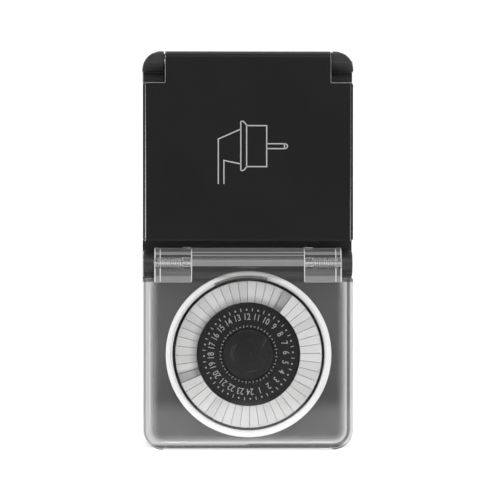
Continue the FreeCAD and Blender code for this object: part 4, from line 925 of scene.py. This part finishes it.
# Springs
SPRING_WALL_Y = -43.8 * MM
LID_WIRE = 0.35 * MM
LID_COIL_START = -4.785 * MM
LID_COIL_RADIUS = 1.95 * MM
LID_COIL_PITCH = 1.16 * MM
LID_COIL_TURNS = 8.25
LID_FRONT_LEG = 5.5 * MM
COVER_WIRE = 0.18 * MM
COVER_COIL_RADIUS = 2.1 * MM
COVER_COIL_PITCH = 0.78 * MM
COVER_COIL_TURNS = 9.25
COVER_FRONT_LEG = 3.4 * MM
COVER_WALL_LEG = 6.5 * MM
COVER_COIL_GAP = 0.1 * MM
COVER_BLOCK_WALL = 1.3 * MM
COVER_BLOCK_SIDE = 33.1 * MM


def coil(start, pitch, turns, radius, axis_z, front_leg):
    """Centre line of a torsion spring about X, with a front leg and a leg to the wall."""
    steps = 20
    total = int(turns * steps)
    points = []
    for k in range(total + 1):
        angle = 2 * math.pi * k / steps
        points.append(Vector((start + pitch * k / steps, COVER_AXIS_Y - radius * math.cos(angle),
                              axis_z + radius * math.sin(angle))))
    angle = 2 * math.pi * total / steps
    aside = pitch / (2 * math.pi)
    heading = Vector((aside, radius * math.sin(angle), radius * math.cos(angle))).normalized()
    first = Vector((aside, 0, radius)).normalized()
    return [points[0] - first * front_leg] + points + [points[-1] + heading * (SPRING_WALL_Y - points[-1].y)]


def spring(name, points, radius, node):
    """Wound wire in place of a CAD spring; it is put on no body and its transform is baked into its mesh."""
    made = piece(name, wire(points, radius), None, "spring_steel", replaced=[node])
    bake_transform(made)
    return made


lid_coil = coil(LID_COIL_START, LID_COIL_PITCH, LID_COIL_TURNS, LID_COIL_RADIUS, LID_AXIS_Z, LID_FRONT_LEG)
spring("lid_coil", lid_coil, LID_WIRE, "lid_spring")
leg_drift = COVER_WALL_LEG * COVER_COIL_PITCH / (2 * math.pi * COVER_COIL_RADIUS)
cover_end = COVER_BLOCK_SIDE - COVER_BLOCK_WALL - COVER_COIL_GAP - leg_drift - COVER_WIRE
cover_start = cover_end - COVER_COIL_PITCH * COVER_COIL_TURNS
right_coil = coil(cover_start, COVER_COIL_PITCH, COVER_COIL_TURNS, COVER_COIL_RADIUS, COVER_AXIS_Z,
                  COVER_FRONT_LEG)
left_coil = [Vector((-p.x, p.y, p.z)) for p in right_coil]
spring("cover_coil_right", right_coil, COVER_WIRE, "cover_spring_right")
spring("cover_coil_left", left_coil, COVER_WIRE, "cover_spring_left")


# Housing screws seen from behind
def screw_tree():
    """Cross-recessed screw heads at the corners of a rectangle."""
    tree = Tree("screw_corners", {
        "Half width": ("Float", 30 * MM), "High": ("Float", 30 * MM), "Low": ("Float", -30 * MM),
        "Seat": ("Float", -9 * MM), "Finish": ("Material", None), "Screw": ("Object", None),
    })
    screw = tree.node("GeometryNodeObjectInfo", out=4, Object=tree.value("Screw"))
    left = tree.math("MULTIPLY", tree.value("Half width"), -1.0)
    places = []
    for x in (left, tree.value("Half width")):
        for z in (tree.value("Low"), tree.value("High")):
            spot = tree.node("ShaderNodeCombineXYZ", X=x, Y=tree.value("Seat"), Z=z)
            places.append(tree.node("GeometryNodeTransform", Geometry=screw, Translation=spot))
    tree.finish(tree.join(*places))
    return tree


def screw_form():
    """Pan head with a cross recess and a plain shank, its seat at the origin."""
    head = rounded([(ON_AXIS, -12.0), (0.9, -12.0), (1.5, -11.0), (1.5, 0.0), (2.75, 0.0), (2.75, 1.5),
                    (1.6, 2.2), (ON_AXIS, 2.2)], 0.25)
    cross = bmesh.new()
    for wide, deep in ((3.0, 0.7), (0.7, 3.0)):
        bar = bmesh.ops.create_cube(cross, size=1.0)["verts"]
        bmesh.ops.scale(cross, vec=(wide * MM, 2.6 * MM, deep * MM), verts=bar)
        bmesh.ops.translate(cross, vec=(0, 2.3 * MM, 0), verts=bar)
    return linked("screw", carved(turned([(r * MM, y * MM) for r, y in head], 32, 0, 0), cross))


screw = screw_form()
corners = {"Half width": 30.7 * MM, "High": 29.8 * MM, "Low": -97.6 * MM, "Seat": -9.0 * MM,
           "Finish": finishes["steel"], "Screw": screw}
screws = screw_tree().grown(corners)
bpy.data.objects.remove(screw)
piece("corner_screws", screws, "housing", "steel", replaced=["housing_screws"], smooth=30.0)

# Floor, light and camera
FLOOR_REACH = 2.5
SWEEP_START = 0.5
SWEEP_RADIUS = 0.5
SWEEP_STEPS = 16


def stage():
    """Pale floor that sweeps up into a backdrop; reflections see a dark patch in front of the object."""
    floor_z = cad_box[0][2]
    edit = bmesh.new()
    profile = [(-FLOOR_REACH, 0.0)]
    for k in range(SWEEP_STEPS + 1):
        angle = math.pi / 2 * k / SWEEP_STEPS
        profile.append((SWEEP_START + SWEEP_RADIUS * math.sin(angle), SWEEP_RADIUS * (1 - math.cos(angle))))
    profile.append((SWEEP_START + SWEEP_RADIUS, FLOOR_REACH))
    rows = [[edit.verts.new((x, y, floor_z + z)) for y, z in profile] for x in (-FLOOR_REACH, FLOOR_REACH)]
    for i in range(len(profile) - 1):
        edit.faces.new([rows[0][i], rows[1][i], rows[1][i + 1], rows[0][i + 1]])
    floor = linked("studio_floor", edit)
    floor.data.shade_smooth()
    finish = Finish("pale_paper")
    patch = (1.0 - abs(finish.axis("X")).step(0.2, 0.3)) * (1.0 - finish.axis("Y").step(-0.45, -0.28))
    patch = patch * (1.0 - finish.node("ShaderNodeLightPath", {}))
    paper = finish.blend(finish.noise(0.2, 2.0), grey(0.4), grey(0.42))
    finish.surface(Base_Color=finish.blend(patch, paper, grey(0.05)), Roughness=0.9, Specular_IOR_Level=0.1,
                   Emission_Color=finish.blend(patch, grey(0.95), grey(0.02)), Emission_Strength=0.75)
    floor.data.materials.append(finish.material)


def lamp(name, place, size, power, target=(0, -0.03, -0.034)):
    """Soft rectangular lamp, aimed at the object unless told otherwise."""
    light = bpy.data.lights.new(name, "AREA")
    light.shape = "RECTANGLE"
    light.size, light.size_y = size
    light.energy = power
    made = bpy.data.objects.new(name, light)
    made.location = place
    made.rotation_euler = (Vector(target) - Vector(place)).to_track_quat("-Z", "Y").to_euler()
    bpy.context.scene.collection.objects.link(made)


stage()
lamp("left_softbox", (-1.0, -0.6, 0.2), (0.9, 1.2), 7.4)
lamp("right_softbox", (1.0, -0.6, 0.2), (0.9, 1.2), 5.4)
lamp("top_softbox", (0.0, -1.25, 0.72), (1.4, 0.6), 6.8)
lamp("overhead_softbox", (0.0, -0.15, 1.0), (0.8, 0.3), 2.5)
lamp("backdrop_light", (0.0, 0.3, 1.6), (1.8, 0.5), 12, (0, 1.0, 0.2))

world = bpy.data.worlds.new("studio")
world.use_nodes = True
world.node_tree.nodes["Background"].inputs["Color"].default_value = (1, 1, 1, 1)
world.node_tree.nodes["Background"].inputs["Strength"].default_value = 0.07
scene = bpy.context.scene
scene.world = world
scene.view_settings.view_transform = "Standard"
scene.view_settings.look = "None"

# Camera: what it looks at, the width of the picture there, its distance and its turn to the side
LOOK = Vector((0.66 * MM, FRONT, -33.75 * MM))
VIEW_WIDTH = 176.65 * MM
CAMERA_DISTANCE = 1.1
CAMERA_TURN = math.radians(-1.5)
view = bpy.data.cameras.new("front_view")
view.sensor_width = 36
view.lens = view.sensor_width * CAMERA_DISTANCE / VIEW_WIDTH
view.clip_start = 0.01
view.clip_end = 20
camera = bpy.data.objects.new("front_view", view)
camera.location = LOOK + Vector((math.sin(CAMERA_TURN), -math.cos(CAMERA_TURN), 0)) * CAMERA_DISTANCE
camera.rotation_euler = (math.pi / 2, 0, CAMERA_TURN)
scene.collection.objects.link(camera)
scene.camera = camera
